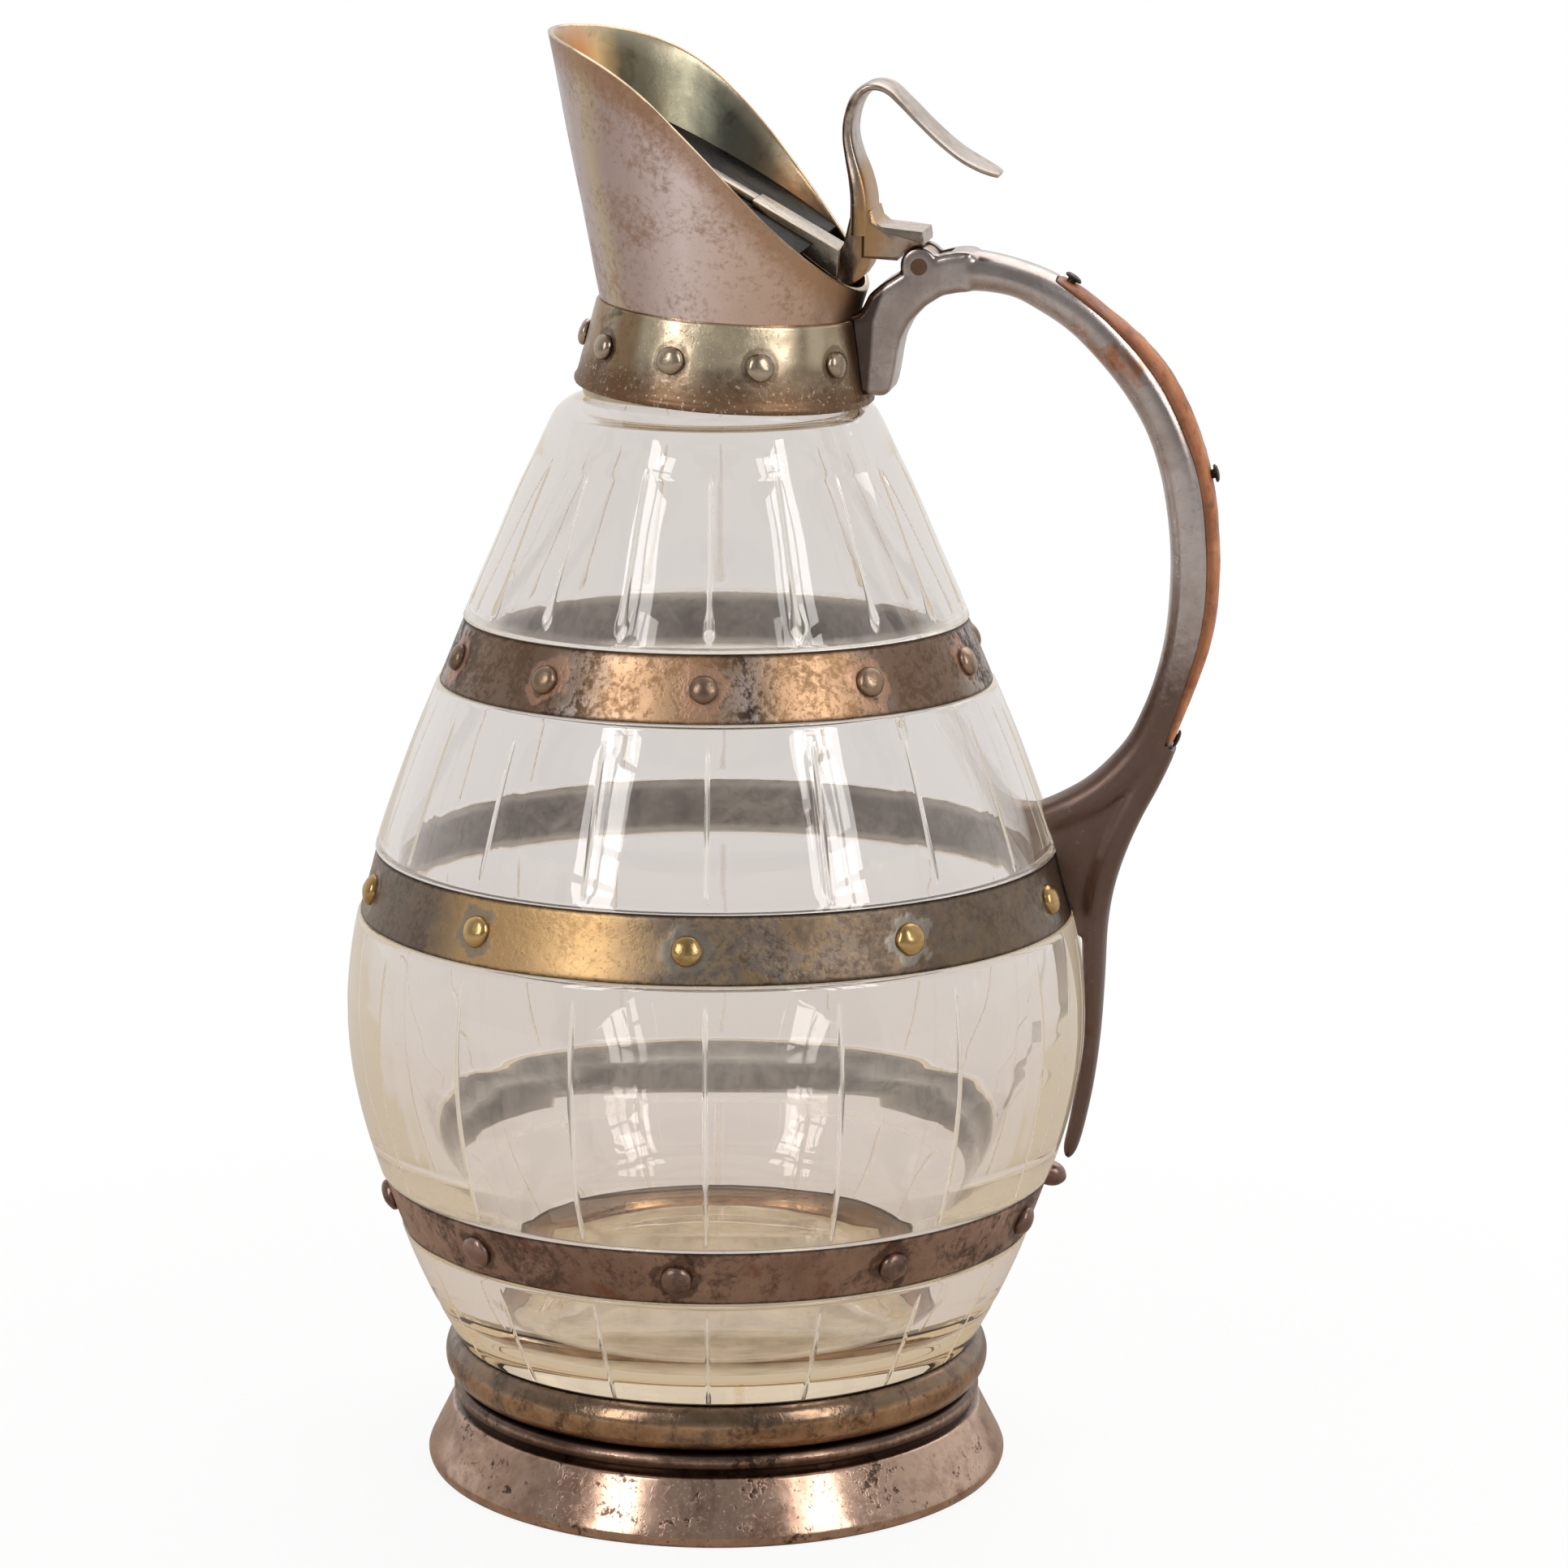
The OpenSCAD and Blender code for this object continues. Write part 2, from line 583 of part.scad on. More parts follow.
module handle() {
    color(silver)
    difference() {
        on_mount() difference() {
            union() {
                bar(smooth(bow_points, 2), 16);
                bar(smooth(tail_points, 2), 16);
                across(web_w) polygon(web_outline);
            }
            across(40) polygon(concat(smooth(strip_inner, 2), seat_room));
            at_grip_pins() grip_pin_hole();
        }
        glass_envelope(0.1);
    }
}

module grip_strip() {
    inner = [for (q = smooth(strip_inner, 2)) [q[0] + strip_gap, q[1] + strip_gap / 2]];
    color(tan_leather)
    on_mount() difference() {
        across(strip_w) polygon(concat(smooth(strip_outer, 2), reversed(inner)));
        at_grip_pins() grip_pin_hole();
    }
}

// Places children at the grip pins, with Z pointing out of the strip
module at_grip_pins()
    for (q = grip_pin_places) translate([q[0], 0, q[1]]) rotate([0, q[2], 0]) children();

module grip_pin_hole() cylinder(r = grip_pin_r + 0.1, h = 12, center = true, $fn = 24);

module grip_pins() {
    color("#2c2420")
    on_mount() at_grip_pins() {
        translate([0, 0, -5]) cylinder(r = grip_pin_r, h = 5.7, $fn = 24);
        translate([0, 0, 0.7]) rotate_extrude($fn = 32)
            polygon([[0, -0.1], [1.7, -0.1], [1.8, 0.15], [1.4, 0.5], [0.7, 0.65], [0, 0.7]]);
    }
}

// ---------- pieces ----------

glass_body();
hoop_lower_band();
hoop_middle_band();
hoop_upper_band();
studs_lower();
studs_middle();
studs_upper();
tail_stud();
foot_bead_ring();
foot_flare();
base_plaster();
base_plate();
neck_plaster();
neck_collar();
collar_studs();
spout();
hinge_bracket();
hinge_pin();
handle();
grip_strip();
grip_pins();
lid_flap();
lid_arm();
thumb_lever();
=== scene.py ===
import bpy
import bmesh
import math
import random
from mathutils import Matrix, Vector, noise


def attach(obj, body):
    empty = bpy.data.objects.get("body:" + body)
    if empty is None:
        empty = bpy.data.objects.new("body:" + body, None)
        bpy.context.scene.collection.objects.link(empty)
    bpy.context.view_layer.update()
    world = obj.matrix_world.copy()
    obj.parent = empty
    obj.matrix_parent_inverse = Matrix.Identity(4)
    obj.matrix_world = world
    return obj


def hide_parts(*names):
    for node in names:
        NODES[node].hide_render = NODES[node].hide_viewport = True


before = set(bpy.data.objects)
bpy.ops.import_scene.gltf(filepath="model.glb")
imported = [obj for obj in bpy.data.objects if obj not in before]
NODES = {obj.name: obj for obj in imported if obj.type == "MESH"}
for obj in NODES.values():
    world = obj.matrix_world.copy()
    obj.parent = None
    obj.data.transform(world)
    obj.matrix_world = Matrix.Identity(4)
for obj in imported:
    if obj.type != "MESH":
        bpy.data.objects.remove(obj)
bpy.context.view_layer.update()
MM = 0.001
rng = random.Random(7)

# The leaning frame of everything on the neck, in millimetres
MOUNT = (Matrix.Translation((1.6, 0, 216.6)) @ Matrix.Rotation(math.radians(4.3), 4, "Y")
         @ Matrix.Rotation(math.radians(3.0), 4, "X"))


# ---------- curves and numbers ----------

def lerp(a, b, t):
    return a + (b - a) * t


def clamp(v, a=0.0, b=1.0):
    return max(a, min(b, v))


def step(a, b, v):
    """0 before a, 1 after b, smooth between."""
    t = clamp((v - a) / (b - a))
    return t * t * (3 - 2 * t)


def smooth(p, n):
    """A smooth line through the points, with n steps between neighbours."""
    out = []
    last = len(p) - 1
    for i in range(last):
        a, b, c, d = p[max(i - 1, 0)], p[i], p[i + 1], p[min(i + 2, last)]
        for k in range(n):
            t = k / n
            out.append(tuple(0.5 * (2 * b[j] + (c[j] - a[j]) * t
                                    + (2 * a[j] - 5 * b[j] + 4 * c[j] - d[j]) * t * t
                                    + (3 * b[j] - a[j] - 3 * c[j] + d[j]) * t ** 3) for j in range(len(b))))
    out.append(tuple(float(x) for x in p[last]))
    return out


def lookup(pairs, x):
    """The second value at x, between pairs sorted by their first."""
    if x <= pairs[0][0]:
        return pairs[0][1]
    for (x0, y0), (x1, y1) in zip(pairs, pairs[1:]):
        if x <= x1:
            return lerp(y0, y1, (x - x0) / (x1 - x0))
    return pairs[-1][1]


def wobble(p, scale, seed=0.0):
    """Smooth noise from about -1 to 1 at a point in millimetres."""
    return noise.noise(Vector((p[0] * scale + seed, p[1] * scale - seed, p[2] * scale + 2 * seed)))


def heading(p, i):
    """Direction of a line at its point i."""
    a, b = p[max(i - 1, 0)], p[min(i + 1, len(p) - 1)]
    return Vector((b[0] - a[0], b[1] - a[1])).normalized()


def rising(lo, hi, pitch):
    """Even steps from lo to hi, about a pitch apart."""
    n = max(1, round((hi - lo) / pitch))
    return [lerp(lo, hi, i / n) for i in range(n + 1)]


def polar(r, t, z):
    return r * math.cos(t), r * math.sin(t), z


def spin(cols):
    """The angles of evenly spread columns round an axis."""
    return [2 * math.pi * k / cols for k in range(cols)]


def swing(turn, a):
    """Degrees from a to turn, the short way round."""
    return (turn - a + 180) % 360 - 180


def nearest(turns, t, r, rise):
    """How far a point at angle t is from the nearest of the studs, which stand at these turns."""
    return min(math.hypot(swing(math.degrees(t), a) * math.pi / 180 * r, rise) for a in turns)


# ---------- meshes ----------

def make(name, verts, faces, mats, body="jug", place=None, sharp=40, attrs=None, face_mats=None):
    """A piece from points in millimetres, carried by a CAD body."""
    mesh = bpy.data.meshes.new(name)
    pts = [(place @ Vector(v)) * MM if place else Vector(v) * MM for v in verts]
    mesh.from_pydata(pts, [], faces)
    for m in mats:
        mesh.materials.append(m)
    if face_mats:
        mesh.polygons.foreach_set("material_index", face_mats)
    for key, values in (attrs or {}).items():
        mesh.attributes.new(key, "FLOAT", "POINT").data.foreach_set("value", values)
    return settle(name, mesh, body, sharp)


def face_outwards(mesh, weld=0.0):
    """Turns all faces outwards, after points closer than weld are joined."""
    bm = bmesh.new()
    bm.from_mesh(mesh)
    if weld:
        bmesh.ops.remove_doubles(bm, verts=bm.verts, dist=weld)
    bmesh.ops.recalc_face_normals(bm, faces=bm.faces)
    bm.to_mesh(mesh)
    bm.free()


def linked(name, data):
    """A new object of the scene."""
    obj = bpy.data.objects.new(name, data)
    bpy.context.scene.collection.objects.link(obj)
    return obj


def settle(name, mesh, body, sharp):
    """Smooths a mesh between its sharp edges and hangs it on a CAD body."""
    face_outwards(mesh)
    mesh.polygons.foreach_set("use_smooth", [True] * len(mesh.polygons))
    mesh.set_sharp_from_angle(angle=math.radians(sharp))
    obj = linked(name, mesh)
    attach(obj, body)
    return obj


def grid_faces(rows, cols, wrap_rows=False):
    """The sides of a tube, or of a ring where the last row meets the first."""
    faces = []
    for i in range(rows if wrap_rows else rows - 1):
        a, b = i * cols, ((i + 1) % rows) * cols
        for k in range(cols):
            m = (k + 1) % cols
            faces.append((a + k, a + m, b + m, b + k))
    return faces


def tube_faces(rows, cols):
    """The sides and both ends of a tube."""
    return grid_faces(rows, cols) + [tuple(range(cols)), tuple(range((rows - 1) * cols, rows * cols))]


def turned(profile, cols, bump=None):
    """Points of a closed ring turned from a profile of (radius, height)."""
    verts = [polar(r + (bump(polar(r, t, z)) if bump else 0.0), t, z) for r, z in profile for t in spin(cols)]
    return verts, grid_faces(len(profile), cols, wrap_rows=True)


def solid_of(name, verts, faces):
    """A bare object used while shaping, in millimetres."""
    mesh = bpy.data.meshes.new(name)
    mesh.from_pydata([Vector(v) for v in verts], [], faces)
    face_outwards(mesh)
    return linked(name, mesh)


def bar(stations, sides=40, power=2.5):
    """Points and faces of a bar along stations (x, z, thickness, width)."""
    verts = []
    n = len(stations)
    for i, s in enumerate(stations):
        h = heading(stations, i)
        for a in spin(sides):
            c, d = math.cos(a), math.sin(a)
            u = math.copysign(abs(c) ** (2 / power), c) * s[2] / 2
            v = math.copysign(abs(d) ** (2 / power), d) * s[3] / 2
            verts.append((s[0] - h[1] * u, v, s[1] + h[0] * u))
    return verts, tube_faces(n, sides)


def plate(outline, width):
    """Points and faces of a flat outline (x, z) made wide about Y = 0."""
    n = len(outline)
    verts = [(x, -width / 2, z) for x, z in outline] + [(x, width / 2, z) for x, z in outline]
    faces = [tuple(range(n)), tuple(range(n, 2 * n))]
    faces += [(i, (i + 1) % n, n + (i + 1) % n, n + i) for i in range(n)]
    return verts, faces


def eased_plate(outline, width, ease):
    """A plate whose long edges are eased on both faces."""
    n = len(outline)
    area = sum(a[0] * b[1] - b[0] * a[1] for a, b in zip(outline, outline[1:] + outline[:1]))
    turn = -1 if area > 0 else 1
    inset = []
    for i, (x, z) in enumerate(outline):
        d = (Vector(outline[(i + 1) % n]) - Vector(outline[i - 1])).normalized()
        inset.append((x + turn * d.y * ease, z - turn * d.x * ease))
    face = width / 2
    layers = [(inset, -face), (outline, ease * 0.7 - face), (outline, face - ease * 0.7), (inset, face)]
    return [(x, y, z) for line, y in layers for x, z in line], tube_faces(4, n)


def rod(x, z, r, width):
    return plate([(x + r * math.cos(a), z + r * math.sin(a)) for a in spin(48)], width)


def arc(cx, cz, r, a, b, n):
    return [(cx + r * math.cos(math.radians(lerp(a, b, i / n))),
             cz + r * math.sin(math.radians(lerp(a, b, i / n)))) for i in range(n + 1)]


def cut(target, tool, operation="DIFFERENCE"):
    """Takes the tool's shape, (points, faces), away from a working object, or adds it."""
    tool = solid_of("tool", *tool)
    mod = target.modifiers.new("cut", "BOOLEAN")
    mod.operation = operation
    mod.solver = "EXACT"
    mod.object = tool
    bake(target)
    bpy.data.objects.remove(tool)


def bake(obj):
    """Puts an object's modifiers into its mesh."""
    graph = bpy.context.evaluated_depsgraph_get()
    mesh = bpy.data.meshes.new_from_object(obj.evaluated_get(graph))
    obj.modifiers.clear()
    obj.data = mesh


def joined(parts):
    """Several (points, faces) as one."""
    verts, faces = [], []
    for v, f in parts:
        faces += [tuple(len(verts) + i for i in q) for q in f]
        verts += v
    return verts, faces


def melt(parts, voxel, relax, rounds):
    """Joins closed meshes into one cast piece with soft corners. Returns a working object."""
    obj = solid_of("melt", *joined(parts))
    mod = obj.modifiers.new("remesh", "REMESH")
    mod.mode = "VOXEL"
    mod.voxel_size = voxel
    soft = obj.modifiers.new("smooth", "LAPLACIANSMOOTH")
    soft.lambda_factor = relax
    soft.iterations = rounds
    soft.use_volume_preserve = True
    bake(obj)
    return obj


def finish_piece(work, name, mat, body="jug", sharp=38, shape=None, attrs=None):
    """Takes a working object of the neck mount, in millimetres, into place as a named piece."""
    mesh = work.data
    mesh.transform(MOUNT)
    if shape:
        for v in mesh.vertices:
            v.co = shape(v.co)
    back = MOUNT.inverted()
    values = {key: [rule(back @ v.co) for v in mesh.vertices] for key, rule in (attrs or {}).items()}
    mesh.transform(Matrix.Scale(MM, 4))
    mesh.materials.clear()
    mesh.materials.append(mat)
    for key, vals in values.items():
        mesh.attributes.new(key, "FLOAT", "POINT").data.foreach_set("value", vals)
    bpy.data.objects.remove(work)
    return settle(name, mesh, body, sharp)


# ---------- materials ----------

def tone(r, g, b):
    """A colour as seen on a screen, 0 to 255, in the renderer's own values."""
    out = []
    for c in (r, g, b):
        c /= 255
        out.append(c / 12.92 if c <= 0.04045 else ((c + 0.055) / 1.055) ** 2.4)
    return (*out, 1.0)


class Paint:
    """The nodes of a material, or of the world."""

    def __init__(self, name, world=False):
        self.owner = (bpy.data.worlds if world else bpy.data.materials).new(name)
        self.owner.use_nodes = True
        self.tree = self.owner.node_tree
        self.tree.nodes.clear()
        self.out = self.node("OutputWorld" if world else "OutputMaterial")
        self.where = self.node("TexCoord").outputs["Generated" if world else "Object"]
        self.normal = None

    def node(self, kind, **values):
        n = self.tree.nodes.new("ShaderNode" + kind)
        for key, v in values.items():
            setattr(n, key, v)
        return n

    def put(self, socket, value):
        """Links an output to a socket or sets the socket. Three numbers are a colour as seen on a screen."""
        if isinstance(value, bpy.types.NodeSocket):
            self.tree.links.new(value, socket)
        elif isinstance(value, tuple) and len(value) == 3:
            socket.default_value = tone(*value)
        else:
            socket.default_value = value

    def fed(self, kind, inputs, **values):
        """A new node with its inputs set, as pairs of name or number and value."""
        n = self.node(kind, **values)
        for key, v in inputs:
            self.put(n.inputs[key], v)
        return n.outputs

    def stretched(self, scale):
        n = self.node("Mapping")
        self.put(n.inputs["Vector"], self.where)
        n.inputs["Scale"].default_value = scale
        return n.outputs[0]

    def noise(self, scale, detail=4.0, rough=0.55, bend=0.0, stretch=None):
        where = self.stretched(stretch) if stretch else self.where
        return self.fed("TexNoise", [("Vector", where), ("Scale", scale), ("Detail", detail),
                                     ("Roughness", rough), ("Distortion", bend)])[0]

    def sway(self, amount, *look, **more):
        """Noise about zero."""
        return self.mul(self.math("SUBTRACT", self.noise(*look, **more), 0.5), amount)

    def cells(self, scale):
        return self.fed("TexVoronoi", [("Vector", self.where), ("Scale", scale)])["Distance"]

    def attr(self, name):
        return self.node("Attribute", attribute_name=name).outputs["Fac"]

    def ragged(self, key, amount, look, lo, hi):
        """The area of an attribute, with a ragged border."""
        return self.range(self.add(self.attr(key), self.sway(amount, *look)), lo, hi)

    def ramp(self, value, stops):
        n = self.node("ValToRGB")
        e = n.color_ramp.elements
        while len(e) < len(stops):
            e.new(0.5)
        for item, (pos, *colour) in zip(e, stops):
            item.position = pos
            item.color = tone(*colour)
        self.put(n.inputs[0], value)
        return n.outputs[0]

    def range(self, value, a, b, lo=0.0, hi=1.0):
        return self.fed("MapRange", [("Value", value), ("From Min", a), ("From Max", b),
                                     ("To Min", lo), ("To Max", hi)], clamp=True)[0]

    def math(self, op, a, b):
        return self.fed("Math", [(0, a), (1, b)], operation=op)[0]

    def mul(self, a, b):
        return self.math("MULTIPLY", a, b)

    def add(self, a, b):
        return self.math("ADD", a, b)

    def above(self, a, b):
        return self.math("GREATER_THAN", a, b)

    def mix(self, fac, a, b):
        return self.fed("Mix", [(0, fac), (6, a), (7, b)], data_type="RGBA")[2]

    def blend(self, fac, a, b):
        """A mix of two surfaces."""
        return self.fed("MixShader", [(0, fac), (1, a), (2, b)])[0]

    def emit(self, colour):
        return self.fed("Emission", [("Color", colour)])[0]

    def bump(self, height, strength, distance):
        n = self.node("Bump")
        n.inputs["Strength"].default_value = strength
        n.inputs["Distance"].default_value = distance
        self.put(n.inputs["Height"], height)
        if self.normal is not None:
            self.put(n.inputs["Normal"], self.normal)
        self.normal = n.outputs[0]

    def shader(self, colour, rough, metallic=0.0, **more):
        inputs = [("Base Color", colour), ("Roughness", rough), ("Metallic", metallic)]
        inputs += [(key.replace("_", " "), v) for key, v in more.items()]
        if self.normal is not None:
            inputs.append(("Normal", self.normal))
        return self.fed("BsdfPrincipled", inputs)[0]

    def done(self, surface):
        self.put(self.out.inputs["Surface"], surface)
        return self.owner


def worn_metal(name, tones, dark, dirt=(0.52, 0.66), grime=0.85, rough=(0.24, 0.5), cloud=38, speck=0.5,
               grain=0.2, lump=0.25, metallic=1.0, patch=None, tarnish_and_light_bands=None, fleck=None, top=None,
               halo=None, edge=None, painted_highlight=None, painted_shade=None):
    """Old metal: clouded colour, tarnish in patches, dark specks, fine scratches and dents, with painted light
    where asked.
    halo, edge and the two after them are (colour, strength) for the attributes of the same names; those two are
    a painted highlight and painted shade. top is that for a painted highlight along a crest, from its own
    attribute. patch is (colour, from, to, scale), and the bands are (tones over the attribute turn, strength):
    tarnish with painted highlights and shade in it."""
    p = Paint(name)
    clouds, fine = p.noise(cloud, 5, 0.6, 0.6), p.noise(cloud * 7, 4, 0.6)
    colour = p.ramp(p.add(p.mul(clouds, 0.75), p.mul(fine, 0.25)), tones)
    # Colour by turn in upright bands: tarnish with painted highlights and shade
    if tarnish_and_light_bands:
        turn = p.add(p.attr("turn"), p.sway(0.06, 40, 4, 0.6, stretch=(1, 1, 0.35)))
        colour = p.mix(tarnish_and_light_bands[1], colour, p.ramp(turn, tarnish_and_light_bands[0]))
    coarse, fine = p.noise(cloud * 1.9, 7, 0.68, 0.9), p.noise(800, 3, 0.65)
    worn = p.mul(p.range(p.add(p.mul(coarse, 1 - grain), p.mul(fine, grain)), *dirt), grime)
    colour = p.mix(worn, colour, dark)
    if patch:
        colour = p.mix(p.range(p.noise(patch[3], 5, 0.6, 0.4), patch[1], patch[2]), colour, patch[0])
    # The two after halo and edge lay on a painted highlight and painted shade, each by its attribute
    for key, tint, amount, look, lo, hi in (("painted_highlight", painted_highlight, 0.5, (70, 5, 0.65), 0.2, 0.8),
                                            ("painted_shade", painted_shade, 0.5, (70, 5, 0.65), 0.2, 0.8),
                                            ("halo", halo, 0.9, (420, 4, 0.7), 0.35, 0.75),
                                            ("edge", edge, 0.8, (600, 4, 0.7), 0.3, 0.8)):
        if tint:
            area = p.ragged(key, amount, look, lo, hi)
            colour = p.mix(p.mul(area, tint[1]), colour, tint[0])
            if key == "edge":
                worn = p.math("MAXIMUM", worn, area)
    # A painted highlight along a crest
    if top:
        colour = p.mix(p.mul(p.range(p.attr("painted_crest_highlight"), 0.3, 0.9), top[1]), colour, top[0])
    if fleck:
        spread = p.range(p.attr("edge"), 0.2, 0.6, 0, fleck[1])
        colour = p.mix(p.mul(p.range(p.noise(1150, 3, 0.7), 0.6, 0.68), spread), colour, fleck[0])
    specks = p.mul(p.range(p.noise(1500, 3, 0.7), 0.62, 0.7), speck)
    colour = p.mix(specks, colour, dark)
    gloss = p.range(p.add(p.mul(p.noise(160, 5, 0.65), 0.7), p.mul(worn, 0.5)), 0.2, 0.9, *rough)
    scratches = p.range(p.noise(700, 2, 0.5, 1.5, stretch=(1, 1, 0.12)), 0.62, 0.7)
    p.bump(p.noise(120, 3, 0.5), lump, 0.0009)
    p.bump(p.noise(900, 4, 0.65), lump, 0.00016)
    p.bump(p.mul(p.math("MAXIMUM", worn, specks), -1.0), 0.35, 0.00012)
    p.bump(scratches, 0.12, 0.00004)
    return p.done(p.shader(colour, gloss, metallic))


def glass_paint():
    """Clear glass with frosted cuts. Rays that have gone a long way inside it end in a painted cream glow,
    standing in for the light of the deeper bounces.
    """
    p = Paint("jug_glass")
    cut_mark = p.attr("cut")
    film = p.range(p.noise(60, 6, 0.6, 0.5), 0.5, 0.85, 0.0, 0.06)
    p.bump(p.noise(60, 2, 0.5), 0.01, 0.0012)
    p.bump(p.noise(22, 2, 0.5), 0.015, 0.004)
    clear = p.shader((253, 252, 251), p.add(film, p.mul(cut_mark, 0.12)), Transmission_Weight=1.0, IOR=1.5)
    surface = p.blend(p.mul(cut_mark, 0.45), clear, p.shader((240, 234, 222), 0.5))
    path = p.node("LightPath").outputs
    # Past a few glossy bounces or a deep ray, the glass gives a painted cream glow
    far = p.math("MAXIMUM", p.above(path["Glossy Depth"], 2.5), p.above(path["Ray Depth"], 8.5))
    surface = p.blend(far, surface, p.emit((0.6, 0.53, 0.44, 1)))
    shadow = p.fed("BsdfTransparent", [("Color", (238, 238, 242))])[0]
    body = p.fed("VolumeAbsorption", [("Color", (1.0, 0.89, 0.68, 1)), ("Density", 13.0)])[0]
    p.put(p.out.inputs["Volume"], body)
    return p.done(p.blend(path["Is Shadow Ray"], surface, shadow))


def plaster_paint():
    p = Paint("plaster")
    colour = p.ramp(p.noise(70, 6, 0.65), [(0.3, 176, 162, 134), (0.5, 222, 208, 180), (0.7, 240, 230, 206)])
    colour = p.mix(p.range(p.noise(500, 4, 0.7), 0.55, 0.7, 0, 0.5), colour, (140, 126, 100))
    p.bump(p.noise(300, 5, 0.7), 0.4, 0.0004)
    return p.done(p.shader(colour, 0.85))


def leather_paint():
    p = Paint("grip_leather")
    colour = p.ramp(p.noise(90, 6, 0.65, 0.4), [(0.3, 124, 68, 36), (0.5, 176, 106, 60), (0.72, 208, 142, 92)])
    colour = p.mix(p.range(p.noise(420, 5, 0.7), 0.52, 0.68, 0, 0.7), colour, (92, 48, 24))
    colour = p.mix(p.mul(p.range(p.attr("edge"), 0.4, 1.0), 0.6), colour, (84, 44, 24))
    p.bump(p.cells(1500), 0.25, 0.0001)
    p.bump(p.noise(260, 5, 0.6), 0.35, 0.0003)
    return p.done(p.shader(colour, p.range(p.noise(180, 4, 0.6), 0.3, 0.7, 0.38, 0.62)))


def gilt_paint():
    """The gilding inside the spout in upright bands: worn, tarnished gilt, with painted shade near black
    towards the hinge and a painted highlight band.
    """
    p = Paint("spout_gilt")
    # Near black on the hinge side is painted shade, and the pale band about 0.41 to 0.43 a painted highlight
    tarnish_and_light_bands = [(0.02, 30, 24, 20), (0.08, 40, 31, 25), (0.14, 134, 94, 60), (0.2, 170, 124, 80),
             (0.24, 116, 106, 90), (0.29, 100, 100, 90), (0.33, 136, 134, 116), (0.36, 124, 118, 98),
             (0.395, 112, 104, 82), (0.41, 176, 148, 104), (0.43, 228, 190, 134), (0.46, 214, 140, 76),
             (0.5, 204, 146, 90), (0.6, 160, 134, 98), (0.75, 176, 150, 104), (0.95, 90, 72, 52)]
    colour = p.ramp(p.add(p.attr("turn"), p.sway(0.07, 34, 4, 0.6)), tarnish_and_light_bands)
    colour = p.mix(p.range(p.noise(52, 5, 0.6, 0.5), 0.6, 0.68, 0, 0.8), colour, (190, 108, 52))
    colour = p.mix(p.range(p.noise(80, 6, 0.65, 0.6), 0.54, 0.66, 0, 0.6), colour, (64, 52, 40))
    colour = p.mix(p.mul(p.range(p.attr("edge"), 0.6, 1.0), 0.5), colour, (206, 196, 170))
    p.bump(p.noise(110, 4, 0.55), 0.15, 0.0008)
    p.bump(p.noise(800, 4, 0.65), 0.2, 0.00012)
    return p.done(p.shader(colour, p.range(p.noise(150, 4, 0.6), 0.3, 0.7, 0.26, 0.44), 1.0))


GLASS = glass_paint()
PLASTER = plaster_paint()
LEATHER = leather_paint()
# On the three hoops the second-last colour is a painted highlight and the last painted shade
M_UPPER = worn_metal("upper_hoop_metal",
    [(0.3, 136, 116, 98), (0.46, 160, 142, 128), (0.6, 178, 164, 158), (0.75, 150, 138, 132)],
    (54, 44, 38), dirt=(0.47, 0.56), grime=0.92, cloud=62, grain=0.4, rough=(0.34, 0.56), lump=0.12,
    halo=((190, 150, 126), 0.7), edge=((60, 48, 40), 0.8),
    painted_highlight=((196, 154, 112), 0.65), painted_shade=((124, 98, 78), 0.8))
M_MIDDLE = worn_metal("middle_hoop_metal",
    [(0.36, 104, 92, 82), (0.45, 156, 132, 104), (0.52, 132, 122, 114), (0.58, 168, 146, 120),
     (0.68, 124, 120, 120)],
    (70, 58, 48), dirt=(0.49, 0.62), grime=0.7, speck=0.4, rough=(0.36, 0.54), cloud=58, lump=0.06, grain=0.45,
    halo=((150, 144, 134), 0.7), edge=((44, 38, 34), 0.85),
    painted_highlight=((216, 176, 122), 0.75), painted_shade=((108, 94, 80), 0.7))
M_LOWER = worn_metal("lower_hoop_metal",
    [(0.3, 142, 114, 98), (0.46, 178, 148, 130), (0.6, 200, 170, 150), (0.75, 154, 128, 114)],
    (60, 46, 40), dirt=(0.48, 0.58), grime=0.8, speck=0.5, rough=(0.34, 0.54), cloud=46, lump=0.12, grain=0.3,
    halo=((58, 44, 40), 0.6), edge=((44, 34, 32), 0.8), patch=((150, 96, 66), 0.6, 0.68, 70),
    painted_highlight=((192, 152, 128), 0.5), painted_shade=((128, 104, 92), 0.45))
M_INSIDE = worn_metal("hoop_back_metal",
    [(0.3, 84, 80, 78), (0.48, 118, 114, 110), (0.62, 150, 146, 142), (0.75, 108, 105, 103)],
    (66, 60, 56), rough=(0.5, 0.7), dirt=(0.46, 0.62), grime=0.75, speck=0.25, metallic=0.25, lump=0.1,
    cloud=48)
M_STUD_TOP = worn_metal("upper_stud_metal", [(0.35, 128, 106, 88), (0.6, 166, 142, 120)], (66, 52, 42),
    grime=0.65, rough=(0.3, 0.5))
M_STUD_MID = worn_metal("middle_stud_metal", [(0.35, 176, 142, 92), (0.6, 214, 182, 128)], (88, 68, 46),
    grime=0.5, rough=(0.2, 0.38))
M_STUD_LOW = worn_metal("lower_stud_metal", [(0.35, 122, 98, 88), (0.6, 156, 130, 118)], (50, 38, 34),
    grime=0.7, rough=(0.26, 0.44))
